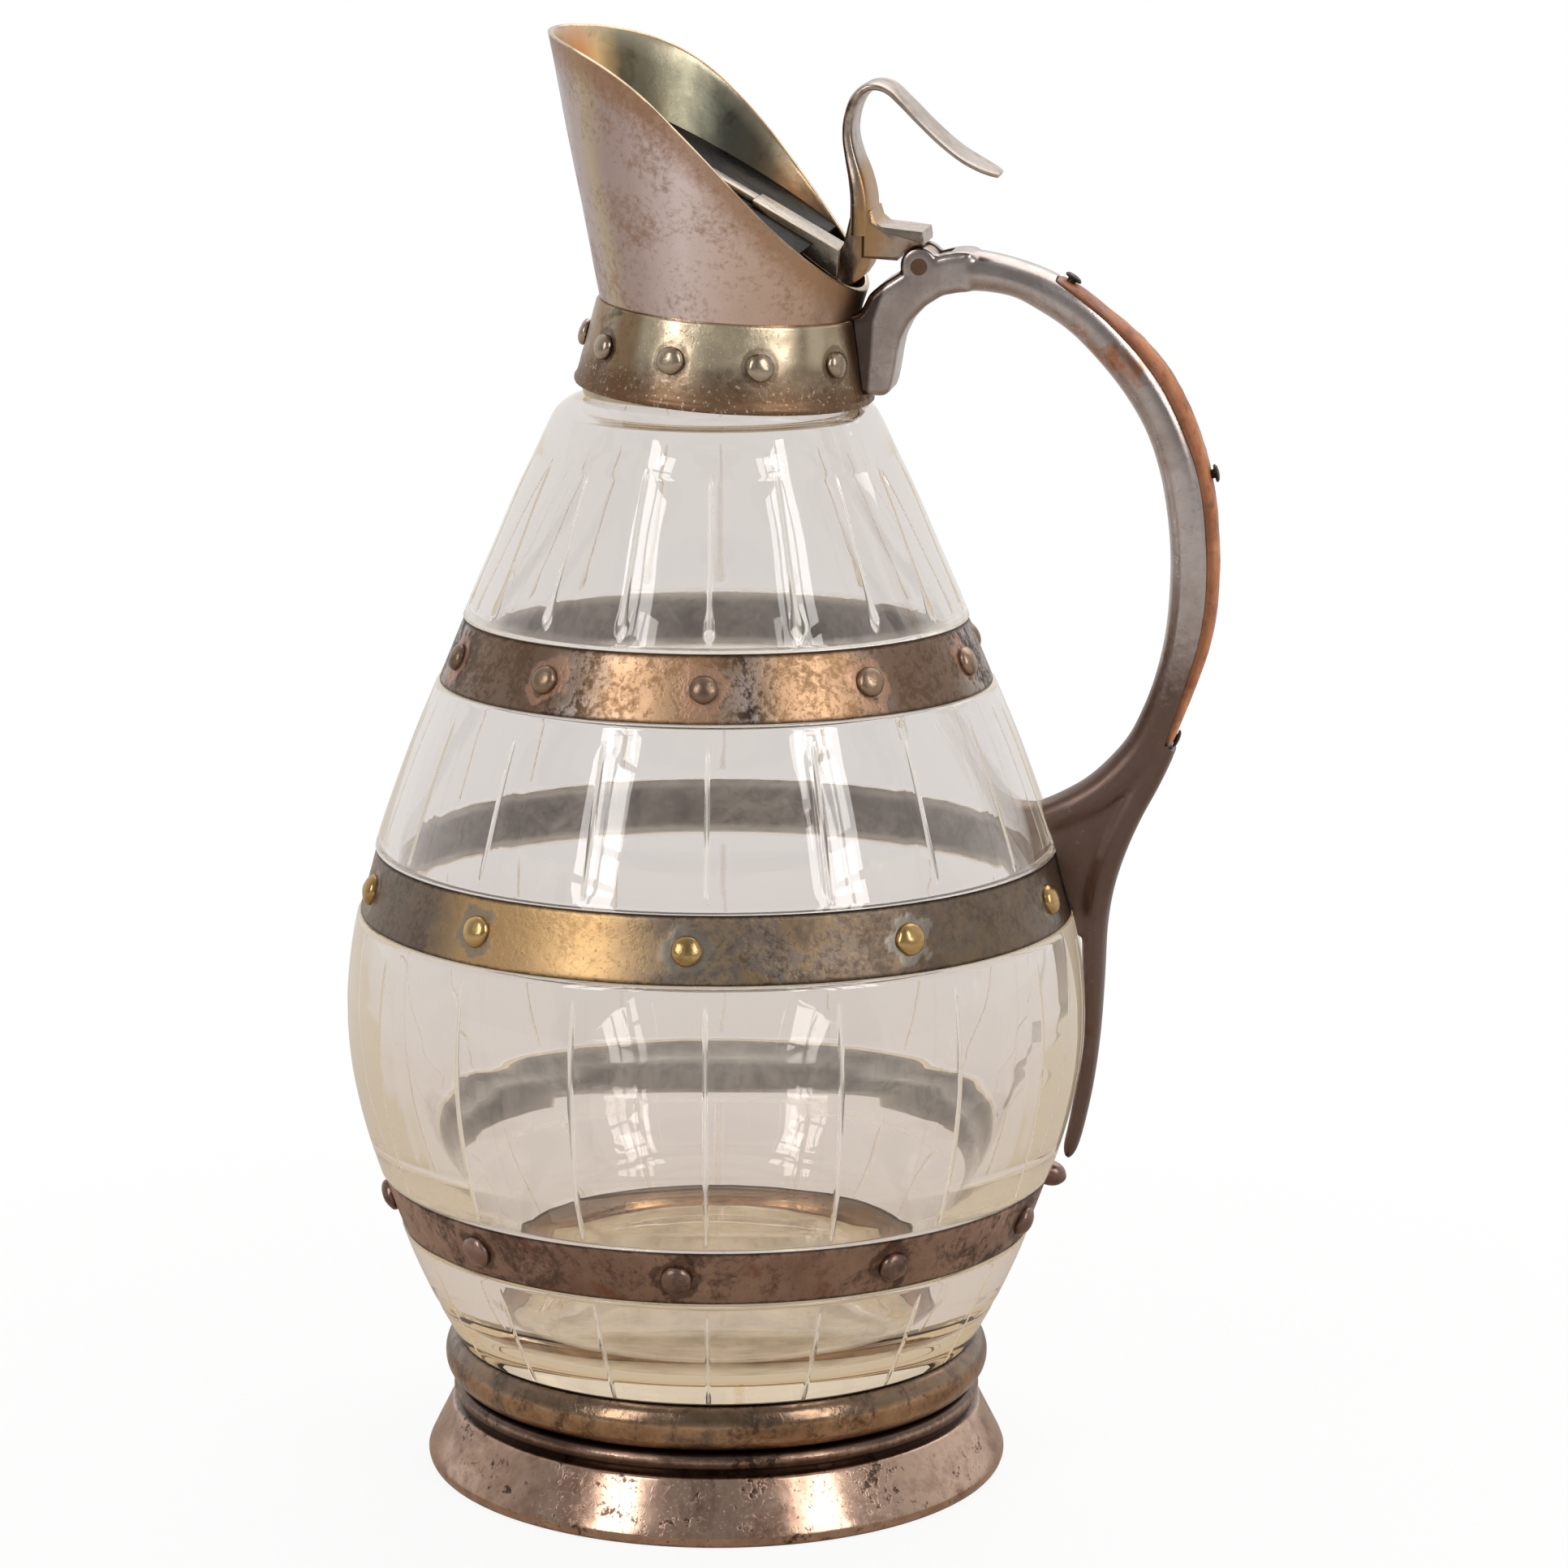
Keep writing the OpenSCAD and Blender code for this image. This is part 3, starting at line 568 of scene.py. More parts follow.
# The edge colour is painted shade in the bead's grooves, and the last colour painted shade over its top
M_BEAD = worn_metal("bead_metal",
    [(0.34, 110, 88, 72), (0.46, 164, 132, 102), (0.56, 188, 154, 122), (0.68, 122, 110, 102)],
    (48, 38, 34), dirt=(0.5, 0.62), grime=0.75, speck=0.4, rough=(0.17, 0.32), cloud=48, lump=0.08, grain=0.35,
    edge=((42, 34, 30), 0.9), painted_shade=((98, 86, 76), 0.6))
# Its edge colour darkens the bottom edge and is painted shade in the groove under the bead
M_FLARE = worn_metal("flare_metal",
    [(0.34, 140, 110, 94), (0.47, 180, 148, 128), (0.56, 198, 168, 148), (0.68, 152, 122, 106)],
    (58, 44, 38), dirt=(0.56, 0.61), grime=0.85, speck=0.5, rough=(0.16, 0.32), cloud=58, lump=0.05, grain=0.35,
    edge=((60, 46, 40), 0.8))
# The last two colours are a painted highlight on the upper collar and painted shade
M_COLLAR = worn_metal("collar_metal",
    [(0.3, 126, 108, 88), (0.46, 158, 140, 118), (0.6, 186, 170, 146), (0.75, 136, 118, 98)],
    (66, 50, 40), dirt=(0.5, 0.62), grime=0.75, cloud=46, lump=0.08, rough=(0.26, 0.46), grain=0.3,
    halo=((70, 56, 48), 0.5), edge=((120, 90, 66), 0.85), fleck=((228, 208, 186), 0.75),
    painted_highlight=((222, 206, 176), 0.75), painted_shade=((150, 116, 76), 0.6))
M_COLLAR_STUD = worn_metal("collar_stud_metal", [(0.35, 150, 132, 112), (0.6, 190, 174, 154)], (84, 68, 56),
    grime=0.5, rough=(0.22, 0.4))
# Colour by turn round the spout: tarnish, with painted highlights in upright bands at the front and painted
# shade at the back
SPOUT_TARNISH_AND_LIGHT = [
    (0.0, 150, 128, 110), (0.08, 146, 124, 106), (0.26, 196, 176, 164), (0.5, 136, 118, 116),
    (0.56, 166, 148, 150), (0.595, 192, 176, 168), (0.615, 196, 178, 146), (0.64, 176, 154, 148),
    (0.67, 186, 164, 158), (0.73, 240, 222, 218), (0.8, 222, 196, 180), (0.87, 206, 176, 154),
    (0.96, 160, 134, 112)]
M_SPOUT = worn_metal("spout_outside_metal",
    [(0.3, 172, 150, 136), (0.46, 194, 174, 162), (0.6, 208, 192, 182), (0.75, 184, 166, 152)],
    (144, 108, 78), dirt=(0.5, 0.63), grime=0.6, speck=0.3, rough=(0.24, 0.42), cloud=30, lump=0.06, grain=0.45,
    edge=((164, 122, 84), 0.65), tarnish_and_light_bands=(SPOUT_TARNISH_AND_LIGHT, 0.9))
M_LIP = worn_metal("spout_lip_metal", [(0.35, 150, 122, 88), (0.6, 206, 182, 146)], (96, 72, 48),
    grime=0.5, rough=(0.18, 0.34), lump=0.1)
M_GILT = gilt_paint()
# Near black: painted shade inside the spout over the flap's dark tarnish
M_FLAP_IN_SHADE = worn_metal("flap_metal_painted_shade",
    [(0.36, 18, 15, 13), (0.48, 28, 24, 21), (0.6, 56, 47, 37), (0.7, 24, 20, 17)],
    (12, 10, 9), grime=0.9, rough=(0.6, 0.8), grain=0.5)
M_ARM = worn_metal("lid_arm_metal",
    [(0.3, 150, 138, 122), (0.5, 182, 170, 154), (0.7, 204, 192, 176)], (90, 74, 60), grime=0.6)
# The last colour is a painted highlight along the arm's long edges
M_LEVER = worn_metal("lever_metal",
    [(0.3, 138, 120, 104), (0.46, 164, 148, 134), (0.6, 182, 168, 156), (0.75, 150, 134, 122)],
    (92, 68, 50), dirt=(0.5, 0.64), grime=0.7, speck=0.12, rough=(0.26, 0.4), lump=0.03, grain=0.3, cloud=60,
    edge=((178, 136, 86), 0.75), top=((186, 178, 172), 0.6))
# The last colour is painted shade on the bracket where it meets the collar
M_HANDLE = worn_metal("handle_metal",
    [(0.3, 146, 132, 126), (0.46, 172, 160, 154), (0.6, 194, 184, 180), (0.75, 158, 144, 136)],
    (76, 62, 54), dirt=(0.58, 0.74), grime=0.6, speck=0.2, rough=(0.22, 0.4), lump=0.06,
    edge=((104, 82, 72), 0.9), patch=((168, 106, 66), 0.6, 0.7, 60), painted_shade=((66, 52, 44), 0.9))
M_PIN = worn_metal("hinge_pin_metal", [(0.35, 104, 80, 64), (0.6, 140, 112, 92)], (52, 38, 30), grime=0.6)
M_NAIL = worn_metal("grip_pin_metal", [(0.35, 40, 34, 30), (0.6, 64, 56, 50)], (24, 20, 18), rough=(0.3, 0.5))
M_BASE = worn_metal("base_metal",
    [(0.3, 120, 108, 98), (0.5, 150, 136, 124), (0.7, 168, 154, 142)], (66, 54, 46), rough=(0.36, 0.6))


# ---------- glass ----------

# Outer line of the glass, (radius, height)
GLASS_POINTS = [
    (50.2, 23.6), (52.5, 27), (54.2, 30), (57.6, 36.5), (61.2, 44.5), (64.2, 52.5), (67.6, 62), (70.4, 71),
    (72.4, 80), (73.3, 87), (73.6, 95), (73.0, 103.5), (71.6, 112), (69.2, 120.5), (66.9, 129),
    (63.4, 139), (59.8, 148.5), (56.0, 157.5), (52.0, 167), (47.9, 177), (43.5, 187), (39.2, 197),
    (34.8, 206)]
SHOULDER = [(32.9, 210.1), (31.2, 213), (28.4, 215.2), (24.6, 216.4), (21.6, 217.6), (20.5, 219.6)]
HOOPS = {"lower": (50.4, 61.5), "middle": (113.8, 126.3), "upper": (159.8, 172.1)}
# How deep the hoops sit in the glass, and the channel they sit in
INSET, HOOP_T = 0.35, 1.1
CHANNEL, GAP, CHANNEL_EASE = INSET + HOOP_T + 0.05, 0.15, 0.25
FLOOR_Z, RIM_Z, NECK_R, BORE_R = 31, 229, 20.5, 17.5
WALL_MIN, WALL_GAIN, WALL_THIN_Z = 4.2, 0.00095, 147
STAVES, STAVE_TURN = 18, -1
STAVE_ZONES = [(27.5, 48.3), (63.4, 111.0), (129.0, 156.6), (175.0, 204.5)]
glass_table = sorted((z, r) for r, z in smooth(GLASS_POINTS, 6))


def glass_r(z):
    return lookup(glass_table, z)


def wall(z):
    """Thickness of the blown wall, which is thinnest under the shoulder."""
    return WALL_MIN + WALL_GAIN * (z - WALL_THIN_Z) ** 2


def glass_rows():
    """Outer line of the glass from the middle of its base to the rim of its neck, (radius, height)."""
    rows = [(0.0, 20), (20, 20), (40, 20), (44, 20), (47.6, 20.9)]
    start = 23.6
    for low, top in HOOPS.values():
        a, b = low - GAP, top + GAP
        rows += [(glass_r(z), z) for z in rising(start, a - CHANNEL_EASE, 0.9)]
        rows += [(glass_r(a) - CHANNEL_EASE, a), (glass_r(a) - CHANNEL, a + 0.05)]
        rows += [(glass_r(z) - CHANNEL, z) for z in rising(a + 2, b - 2, 3)]
        rows += [(glass_r(b) - CHANNEL, b - 0.05), (glass_r(b) - CHANNEL_EASE, b)]
        start = b + CHANNEL_EASE
    rows += [(glass_r(z), z) for z in rising(start, 206, 0.9)] + smooth(SHOULDER, 4)
    rows += [(NECK_R, z) for z in (221.5, 224, 226.5, 228.2)] + [(20.3, 228.7), (19.7, RIM_Z)]
    return rows


def inner_rows():
    """Inner line of the glass from the rim down to the middle of its floor."""
    rows = [(18.2, RIM_Z), (17.7, 228.7), (BORE_R, 228), (BORE_R, 225)]
    rows += smooth([(BORE_R, 221), (18.2, 218.4), (20.4, 216), (24.0, 213.4), (28.0, 210)], 4)
    rows += [(glass_r(z) - wall(z), z) for z in reversed(rising(64, 202, 1.3))]
    rows += smooth([(55.9, 61), (53, 54.5), (50.8, 48.4), (48.6, 42.6), (45.8, 37.6), (42, 34), (36, 31.9),
                    (28, 31.1)], 6)
    rows += [(12, FLOOR_Z), (0.0, FLOOR_Z)]
    return rows


def stave_cut(z):
    """Depth and width of a stave's cut at this height; the cut widens at its lower end."""
    for a, b in STAVE_ZONES:
        if a <= z <= b:
            fade = step(a, a + 0.9, z) * (1 - step(b - 3.5, b, z))
            drop = math.exp(-((z - a - 1.6) / 2.6) ** 2) if a > 170 else 0.0
            return (0.25 + 0.3 * drop) * fade, 0.8 + 1.1 * drop
    return 0.0, 1.0


# Where the columns of points between two cuts stand, as shares of the way
BETWEEN = (0.17, 0.25, 0.33, 0.42, 0.5, 0.58, 0.67, 0.75, 0.83)
RING_Z, RING_DEPTH = 35.0, 0.3
BELLY_R = 73.55


def cement_at(r, z, t):
    """How much old cement clings to the glass of a hoop's channel."""
    for low, top in HOOPS.values():
        if low - GAP - 0.01 <= z <= top + GAP + 0.01 and r < glass_r(z) - 0.1:
            rim = clamp(1 - min(z - low, top - z) / 2)
            p = polar(r, t, z)
            cloud = 0.5 + 0.9 * wobble(p, 0.09, 4) + 0.5 * wobble(p, 0.35, 9)
            return clamp(0.55 * cloud * (0.1 + 1.2 * rim)) + 0.4 * rim
    return 0.0


def build_glass():
    marks = [-0.85, -0.62, -0.45, -0.28, -0.12, 0, 0.12, 0.28, 0.45, 0.62, 0.85]
    depths = [0, 0.04, 0.3, 0.7, 0.95, 1, 0.95, 0.7, 0.3, 0.04, 0]
    sector = 2 * math.pi / STAVES
    outer, inner = glass_rows(), inner_rows()
    verts, cuts = [], []
    for j, (r, z) in enumerate(outer + inner):
        is_out = j < len(outer) and 23 < z < 207
        depth, width = stave_cut(z) if is_out else (0.0, 1.0)
        ring = RING_DEPTH * math.exp(-((z - RING_Z) / 0.45) ** 2) if is_out else 0.0
        for s in range(STAVES):
            mid = math.radians(STAVE_TURN) + s * sector
            places = [(mid + m * width / max(r, 20), depth * d, d) for m, d in zip(marks, depths)]
            places += [(mid + sector * f, 0.0, 0.0) for f in BETWEEN]
            for t, d, share in places:
                rr = min(r, BELLY_R) - d - ring * (1 - 0.5 * share)
                verts.append(polar(rr, t, z))
                full = 1 if depth > 0.06 else depth / 0.06
                cuts.append(clamp(share * full + (ring / 0.32) * 0.5 + cement_at(r, z, t)))
    faces = grid_faces(len(outer) + len(inner), STAVES * (len(marks) + len(BETWEEN)))
    obj = make("jug_glass_body", verts, faces, [GLASS], sharp=60, attrs={"cut": cuts})
    # The first and last rings lie on the axis and become one point each
    face_outwards(obj.data, weld=1e-7)
    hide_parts("glass_body")


build_glass()


# ---------- hoops and studs ----------

STUD_TURNS = {"lower": [45, 83, 121, 159, 197, 236, 274, 311.5, 347.5],
              "middle": [26, 62, 97, 132, 168, 204, 240, 276, 312, 349.5],
              "upper": [24, 61, 97, 133, 170, 207.5, 242.5, 278, 314, 348]}
# Where painted highlights and painted shade lie on the hoops, standing in for their reflections: (turn, half
# width) in degrees
HOOP_PAINTED_HIGHLIGHTS = {"lower": [(200, 20), (20, 25)], "middle": [(250, 20), (130, 30), (30, 20)],
        "upper": [(268, 16), (302, 12), (90, 30), (170, 20)]}
HOOP_PAINTED_SHADES = {"lower": [(255, 25), (300, 30), (100, 40)], "middle": [(322, 30), (218, 16), (75, 25), (180, 15)],
         "upper": [(228, 20), (330, 18), (130, 20), (30, 20)]}


def inside(spots, turn):
    """How far a turn is inside one of the spots, (turn, half width)."""
    return max(1 - step(0.2, 1.6, abs(swing(turn, a)) / w) for a, w in spots)


def build_hoop(key, paint, solder):
    """A hoop's band; solder is how far it is raised round the studs."""
    low, top = HOOPS[key]
    cols = 640
    mid = (low + top) / 2
    zs = [low + d for d in (0, 0.12, 0.35)] + rising(low + 1, top - 1, 0.75)
    zs += [top - d for d in (0.35, 0.12, 0)]
    ease = {low: 0.35, low + 0.12: 0.12, low + 0.35: 0.03, top - 0.35: 0.03, top - 0.12: 0.12, top: 0.35}
    rows = [(glass_r(z) - INSET - ease.get(z, 0.0), z, True) for z in zs]
    rows += [(glass_r(z) - INSET - HOOP_T, z, False) for z in reversed(rising(low, top, 2.5))]
    verts, halo, edge, painted_highlight, painted_shade = [], [], [], [], []
    for r, z, outside in rows:
        for t in spin(cols):
            p = polar(r, t, z)
            near = nearest(STUD_TURNS[key], t, r, z - mid)
            ragged = near + 2.2 * wobble(p, 0.25, 3.1) + 1.0 * wobble(p, 0.8, 8.0)
            spread = 1 - step(4.1, 4.8, ragged)
            lift = 0.0
            if outside and z not in ease:
                lift = 0.06 * wobble(p, 0.09, 5) + solder * spread * (1 + 0.7 * wobble(p, 1.6, 2))
            verts.append(polar(r + lift, t, z))
            halo.append(spread if solder > 0.1 else clamp(1.15 - abs(ragged - 3.6) / 1.7))
            edge.append(clamp(1 - min(z - low, top - z) / 0.9))
            # Painted highlight and painted shade, by turn round the hoop
            painted_highlight.append(inside(HOOP_PAINTED_HIGHLIGHTS[key], math.degrees(t)))
            painted_shade.append(inside(HOOP_PAINTED_SHADES[key], math.degrees(t)))
    face_mats = [0 if outside else 1 for _, _, outside in rows for _ in range(cols)]
    obj = make(f"{key}_hoop", verts, grid_faces(len(rows), cols, wrap_rows=True), [paint, M_INSIDE], sharp=50,
               attrs={"halo": halo, "edge": edge, "painted_highlight": painted_highlight, "painted_shade": painted_shade}, face_mats=face_mats)
    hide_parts(f"hoop_{key}_band")
    return obj


def hoop_place(key, z, turn):
    low, top = HOOPS[key]
    slope = math.atan2(glass_r(low) - glass_r(top), top - low)
    return (Matrix.Rotation(math.radians(turn), 4, "Z") @ Matrix.Translation((glass_r(z) - INSET, 0, z))
            @ Matrix.Rotation(math.radians(90) - slope, 4, "Y"))


def dome(r, h, seed):
    """A hammered dome on a short peg."""
    cols = 40
    rows = [(0.02, -0.9), (0.95, -0.9), (0.98, -0.3), (0.98, 0.04), (r * 0.9, 0.03), (r, 0.1)]
    rows += [(r * math.cos(math.radians(a)) + 0.22 * math.sin(math.radians(2 * a)),
              0.1 + h * math.sin(math.radians(a))) for a in (10, 20, 31, 42, 53, 64, 74, 83)]
    rows += [(0.02, 0.1 + h)]
    verts = []
    for q, z in rows:
        for t in spin(cols):
            p = polar(q, t, z)
            f = 1 + (0.05 * wobble(p, 0.5, seed) + 0.02 * wobble(p, 1.6, seed + 4)) if z > 0.05 else 1
            verts.append((p[0] * f, p[1] * f, z * (1 + 0.08 * wobble(p, 0.4, seed + 9)) if z > 0.2 else z))
    return verts, tube_faces(len(rows), cols)


def build_studs(name, node, places, r, h, paint):
    parts = []
    for i, place in enumerate(places):
        size = 1 + rng.uniform(-0.05, 0.05)
        verts, faces = dome(r * size, h * (1 + rng.uniform(-0.1, 0.1)), 3.7 * i + r)
        parts.append(([tuple(place @ Vector(p)) for p in verts], faces))
    obj = make(name, *joined(parts), [paint], sharp=55)
    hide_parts(node)
    return obj


build_hoop("upper", M_UPPER, 0.06)
build_hoop("middle", M_MIDDLE, 0.13)
build_hoop("lower", M_LOWER, 0.05)
for key, paint, slot, r, h in (("upper", M_STUD_TOP, "brass_studs", 2.8, 1.9),
                               ("middle", M_STUD_MID, "brass_studs", 3.0, 2.0),
                               ("lower", M_STUD_LOW, "copper_plate", 3.1, 2.0)):
    z = sum(HOOPS[key]) / 2
    places = [hoop_place(key, z, t) for t in STUD_TURNS[key]]
    build_studs(f"{key}_studs", f"studs_{key}", places, r, h, paint)
places = [hoop_place("lower", 59, 9.5)]
build_studs("handle_tail_stud", "tail_stud", places, 2.5, 4.3, M_STUD_LOW)


# ---------- foot ----------

FOOT_COLS = 360


def build_foot():
    bead_z, bead_r, low = 22.3, 54.8, 17.5
    half = bead_z - low
    profile = [(47.4, low)]
    profile += [(bead_r - half + half * math.cos(math.radians(a)),
                 bead_z + (half + 0.4) * math.sin(math.radians(a))) for a in range(-90, 79, 6)]
    profile += [(glass_r(27.1) + 0.06, 27.1)]
    profile += [(glass_r(z) + 0.05, z) for z in (26, 25, 24)] + [(47.7, 20.9), (47.4, 20.5)]

    def bead_dent(p):
        if math.hypot(p[0], p[1]) <= 51.5 or p[2] >= 26:
            return 0.0
        return 0.1 * wobble(p, 0.07, 1.5) + 0.03 * wobble(p, 0.4, 6)

    verts, faces = turned(profile, FOOT_COLS, bead_dent)
    edge, painted_shade = [], []
    for r, z in profile:
        # Painted shade in the grooves at the bead's foot and where it meets the glass; the next line is painted
        # shade over the bead's top
        edge += [max(clamp(1.3 - (z - low) / 1.2), clamp(1 - (27.1 - z) / 1.1))] * FOOT_COLS
        painted_shade += [step(22.5, 25, z)] * FOOT_COLS
    bead = make("foot_bead", verts, faces, [M_BEAD], sharp=50, attrs={"edge": edge, "painted_shade": painted_shade})
    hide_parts("foot_bead_ring")

    outside = [(52.4, 17.48)] + arc(51.3, 15.3, 1.9, 80, -62, 14) + [(52.0, 13.0)]
    outside += [(53.0, 12.62), (53.3, 12.5), (53.6, 12.1)]
    outside += [(lerp(53.75, 57.95, i / 10), lerp(11.85, 3.45, i / 10)) for i in range(11)]
    outside += smooth([(58.1, 3.1), (58.3, 2.6), (58.45, 2), (58.25, 1), (57.85, 0.35), (57.2, 0)], 3)
    inside = [(55.4, 0), (55.4, 2.2), (56, 4.8), (54.6, 8.2), (52.8, 10.2), (49.6, 11.4), (49.6, 17.48)]

    def flare_dent(p):
        if math.hypot(p[0], p[1]) <= 51.9:
            return 0.0
        dent = 0.09 * wobble(p, 0.05, 7.5) + 0.03 * wobble(p, 0.5, 4)
        return dent * step(0.3, 1.5, p[2]) * (1 - step(16.4, 17.3, p[2]))

    profile = outside + inside
    verts, faces = turned(profile, FOOT_COLS, flare_dent)
    edge = []
    for r, z in profile:
        # Darker along the bottom edge; above 12.1 mm, painted shade in the groove and on the small bead under
        # the big bead, lifted by a painted highlight along the small bead's crest
        painted_crest_highlight = clamp(1 - abs(z - 15.6) / 0.9) if r > 52.5 else 0.0
        edge += [clamp(1 - z / 1.2) if z < 2 else step(12.1, 12.9, z) - 0.6 * painted_crest_highlight] * FOOT_COLS
    flare = make("foot_flare_skirt", verts, faces, [M_FLARE], sharp=50, attrs={"edge": edge})
    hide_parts("foot_flare")


build_foot()


# ---------- neck mount ----------

# The collar's radius below and above, its height and its thickness
COLLAR_LOW, COLLAR_TOP, COLLAR_H, COLLAR_T = 29.2, 25.9, 16.6, 1.3
COLLAR_STUD_TURNS = [5.7 + 36 * i for i in range(1, 10)]
COLLAR_STUD_Z = 9
# Where painted highlights and painted shade lie round the collar: (turn, half width) in degrees
COLLAR_PAINTED_HIGHLIGHTS = [(252, 12), (285, 26), (325, 12), (100, 30)]
COLLAR_PAINTED_SHADES = [(205, 14), (235, 7), (350, 12), (60, 30)]


def collar_r(z):
    return lerp(COLLAR_LOW, COLLAR_TOP, z / COLLAR_H)


def collar_stud_places():
    slope = math.atan2(COLLAR_LOW - COLLAR_TOP, COLLAR_H)
    out = (Matrix.Translation((collar_r(COLLAR_STUD_Z), 0, COLLAR_STUD_Z))
           @ Matrix.Rotation(math.radians(90) - slope, 4, "Y"))
    return [MOUNT @ Matrix.Rotation(math.radians(turn), 4, "Z") @ out for turn in COLLAR_STUD_TURNS]


def build_collar():
    out = [(COLLAR_LOW - 0.5, 0), (COLLAR_LOW - 0.1, 0.12), (COLLAR_LOW + 0.16, 0.55), (COLLAR_LOW + 0.14, 1.1),
           (COLLAR_LOW - 0.12, 1.6), (COLLAR_LOW - 0.36, 1.95)]
    out += [(collar_r(z), z) for z in rising(2.6, COLLAR_H - 1.2, 0.8)]
    out += [(COLLAR_TOP + 0.12, COLLAR_H - 0.8), (COLLAR_TOP + 0.06, COLLAR_H - 0.35),
            (COLLAR_TOP - 0.2, COLLAR_H - 0.06), (COLLAR_TOP - 0.5, COLLAR_H)]
    inn = [(COLLAR_TOP - COLLAR_T, COLLAR_H), (collar_r(8) - COLLAR_T, 8), (COLLAR_LOW - COLLAR_T, 0)]
    profile = out + inn
    cols = 360
    verts, halo, edge, painted_highlight, painted_shade = [], [], [], [], []
    for i, (r, z) in enumerate(profile):
        for t in spin(cols):
            p = polar(r, t, z)
            near = nearest(COLLAR_STUD_TURNS, t, r, z - COLLAR_STUD_Z)
            d = 0.0
            if 0 < i < len(out) - 1:
                d = 0.12 * wobble(p, 0.1, 3) + 0.05 * wobble(p, 0.35, 8)
                d -= 0.08 * clamp(1 - abs(near - 3.1) / 0.6)
            if i in (1, 2, 3, 4):
                d += 0.12 * wobble(p, 0.45, 12)
            verts.append(polar(r + d, t, z))
            halo.append(clamp(1.2 - abs(near - 3.1) / 0.9))
            edge.append(clamp(1.1 - z / 10))
            # Painted highlight on the upper collar and painted shade, by turn
            painted_highlight.append(inside(COLLAR_PAINTED_HIGHLIGHTS, math.degrees(t)) * step(6, 11, z))
            painted_shade.append(inside(COLLAR_PAINTED_SHADES, math.degrees(t)))
    faces = grid_faces(len(profile), cols, wrap_rows=True)
    obj = make("neck_collar_band", verts, faces, [M_COLLAR], place=MOUNT, sharp=50,
               attrs={"halo": halo, "edge": edge, "painted_highlight": painted_highlight, "painted_shade": painted_shade})
    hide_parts("neck_collar")
    studs = build_studs("collar_stud_domes", "collar_studs", collar_stud_places(), 2.6, 1.6, M_COLLAR_STUD)


build_collar()

# The spout's wall, its radius on the collar, the foot of its skirt and its lean in degrees
SPOUT_T, SPOUT_LOW, SPOUT_FOOT, SPOUT_LEAN = 1.1, 25.3, 12.0, 14.3
# The edge of the mouth seen from the side, (across, height)
MOUTH = [
    (-46, 67.6), (-39, 67.2), (-33, 66.4), (-26.7, 65), (-20, 62.5), (-13.3, 58.7), (-6.7, 53.4),
    (0, 47.3), (6.7, 40.5), (13.3, 33.9), (20, 27.7), (26.7, 21.9), (34, 16)]
mouth_table = smooth(MOUTH, 5)
# The spout's faces: outside, lip and gilt inside
OUT, LIP, INNER = 0, 1, 2


def spout_out(z):
    return SPOUT_LOW + (z - COLLAR_H) * math.tan(math.radians(SPOUT_LEAN))


def rim_z(t, inset=0.0):
    """Height at which the spout's wall meets the edge of its mouth, at the turn t."""
    lo, hi = 14.0, 72.0
    for _ in range(40):
        z = (lo + hi) / 2
        if z < lookup(mouth_table, (spout_out(z) - inset) * math.cos(t)):
            lo = z
        else:
            hi = z
    return lo


def spout_line(t):
    """The spout's wall at the turn t, over its mouth and back: (radius, height, face, below the edge)."""
    c, s = 30 * math.cos(t), 30 * math.sin(t)
    zo, zi = rim_z(t), rim_z(t, SPOUT_T)
    low = COLLAR_H + 0.03
    skirt = COLLAR_TOP - COLLAR_T - 0.05
    line = [(skirt, SPOUT_FOOT, OUT, 9), (skirt, COLLAR_H - 0.02, OUT, 9)]
    for f in rising(0, 1, 1 / 39):
        z = lerp(low, zo - 0.3, 1 - (1 - f) ** 1.6)
        free = step(low + 0.5, low + 3, z)
        wave = (0.13 * wobble((c, s, z), 0.06, 2) + 0.04 * wobble((c, s, z), 0.3, 7)) * free
        line.append((spout_out(z) + min(wave, 0.25 * free), z, OUT, zo - z))
    mid_r, mid_z = (spout_out(zo) + spout_out(zi) - SPOUT_T) / 2, (zo + zi) / 2
    half_r = (spout_out(zo) - spout_out(zi) + SPOUT_T) / 2
    for f in rising(0, 1, 1 / 4):
        a = math.pi * f
        line.append((mid_r + half_r * math.cos(a) * 0.98,
                     mid_z + lerp(zo - mid_z, zi - mid_z, f) - 0.12 + 0.22 * math.sin(a), LIP, 0))
    for f in rising(0, 1, 1 / 35):
        z = lerp(zi - 0.3, COLLAR_H, f)
        wave = 0.12 * wobble((c, s, z), 0.07, 11) + 0.05 * wobble((c, s, z), 0.3, 17)
        line.append((spout_out(z) - SPOUT_T - abs(wave) * step(COLLAR_H, COLLAR_H + 2, z), z, INNER, zi - z))
    foot_r = SPOUT_LOW - SPOUT_T
    return line + [(foot_r, COLLAR_H - 0.1, INNER, 30), (foot_r, SPOUT_FOOT, INNER, 30)]


def build_spout():
    cols = 420
    turns = spin(cols)
    lines = [spout_line(t) for t in turns]
    n = len(lines[0])
    verts = [polar(line[i][0], t, line[i][1]) for i in range(n) for t, line in zip(turns, lines)]
    edge = [clamp(1.05 - line[i][3] / 11) for i in range(n) for line in lines]
    kind = [entry[2] for entry in lines[0]]
    face_mats = []
    for a, b in zip(kind, kind[1:] + [INNER]):
        face_mats += [LIP if LIP in (a, b) else max(a, b)] * cols
    faces = grid_faces(n, cols, wrap_rows=True)
    obj = make("spout_body", verts, faces, [M_SPOUT, M_LIP, M_GILT], place=MOUNT, sharp=60,
               attrs={"edge": edge, "turn": [math.degrees(t) / 360 for t in turns] * n}, face_mats=face_mats)
    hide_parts("spout")


build_spout()


# ---------- bracket and handle ----------

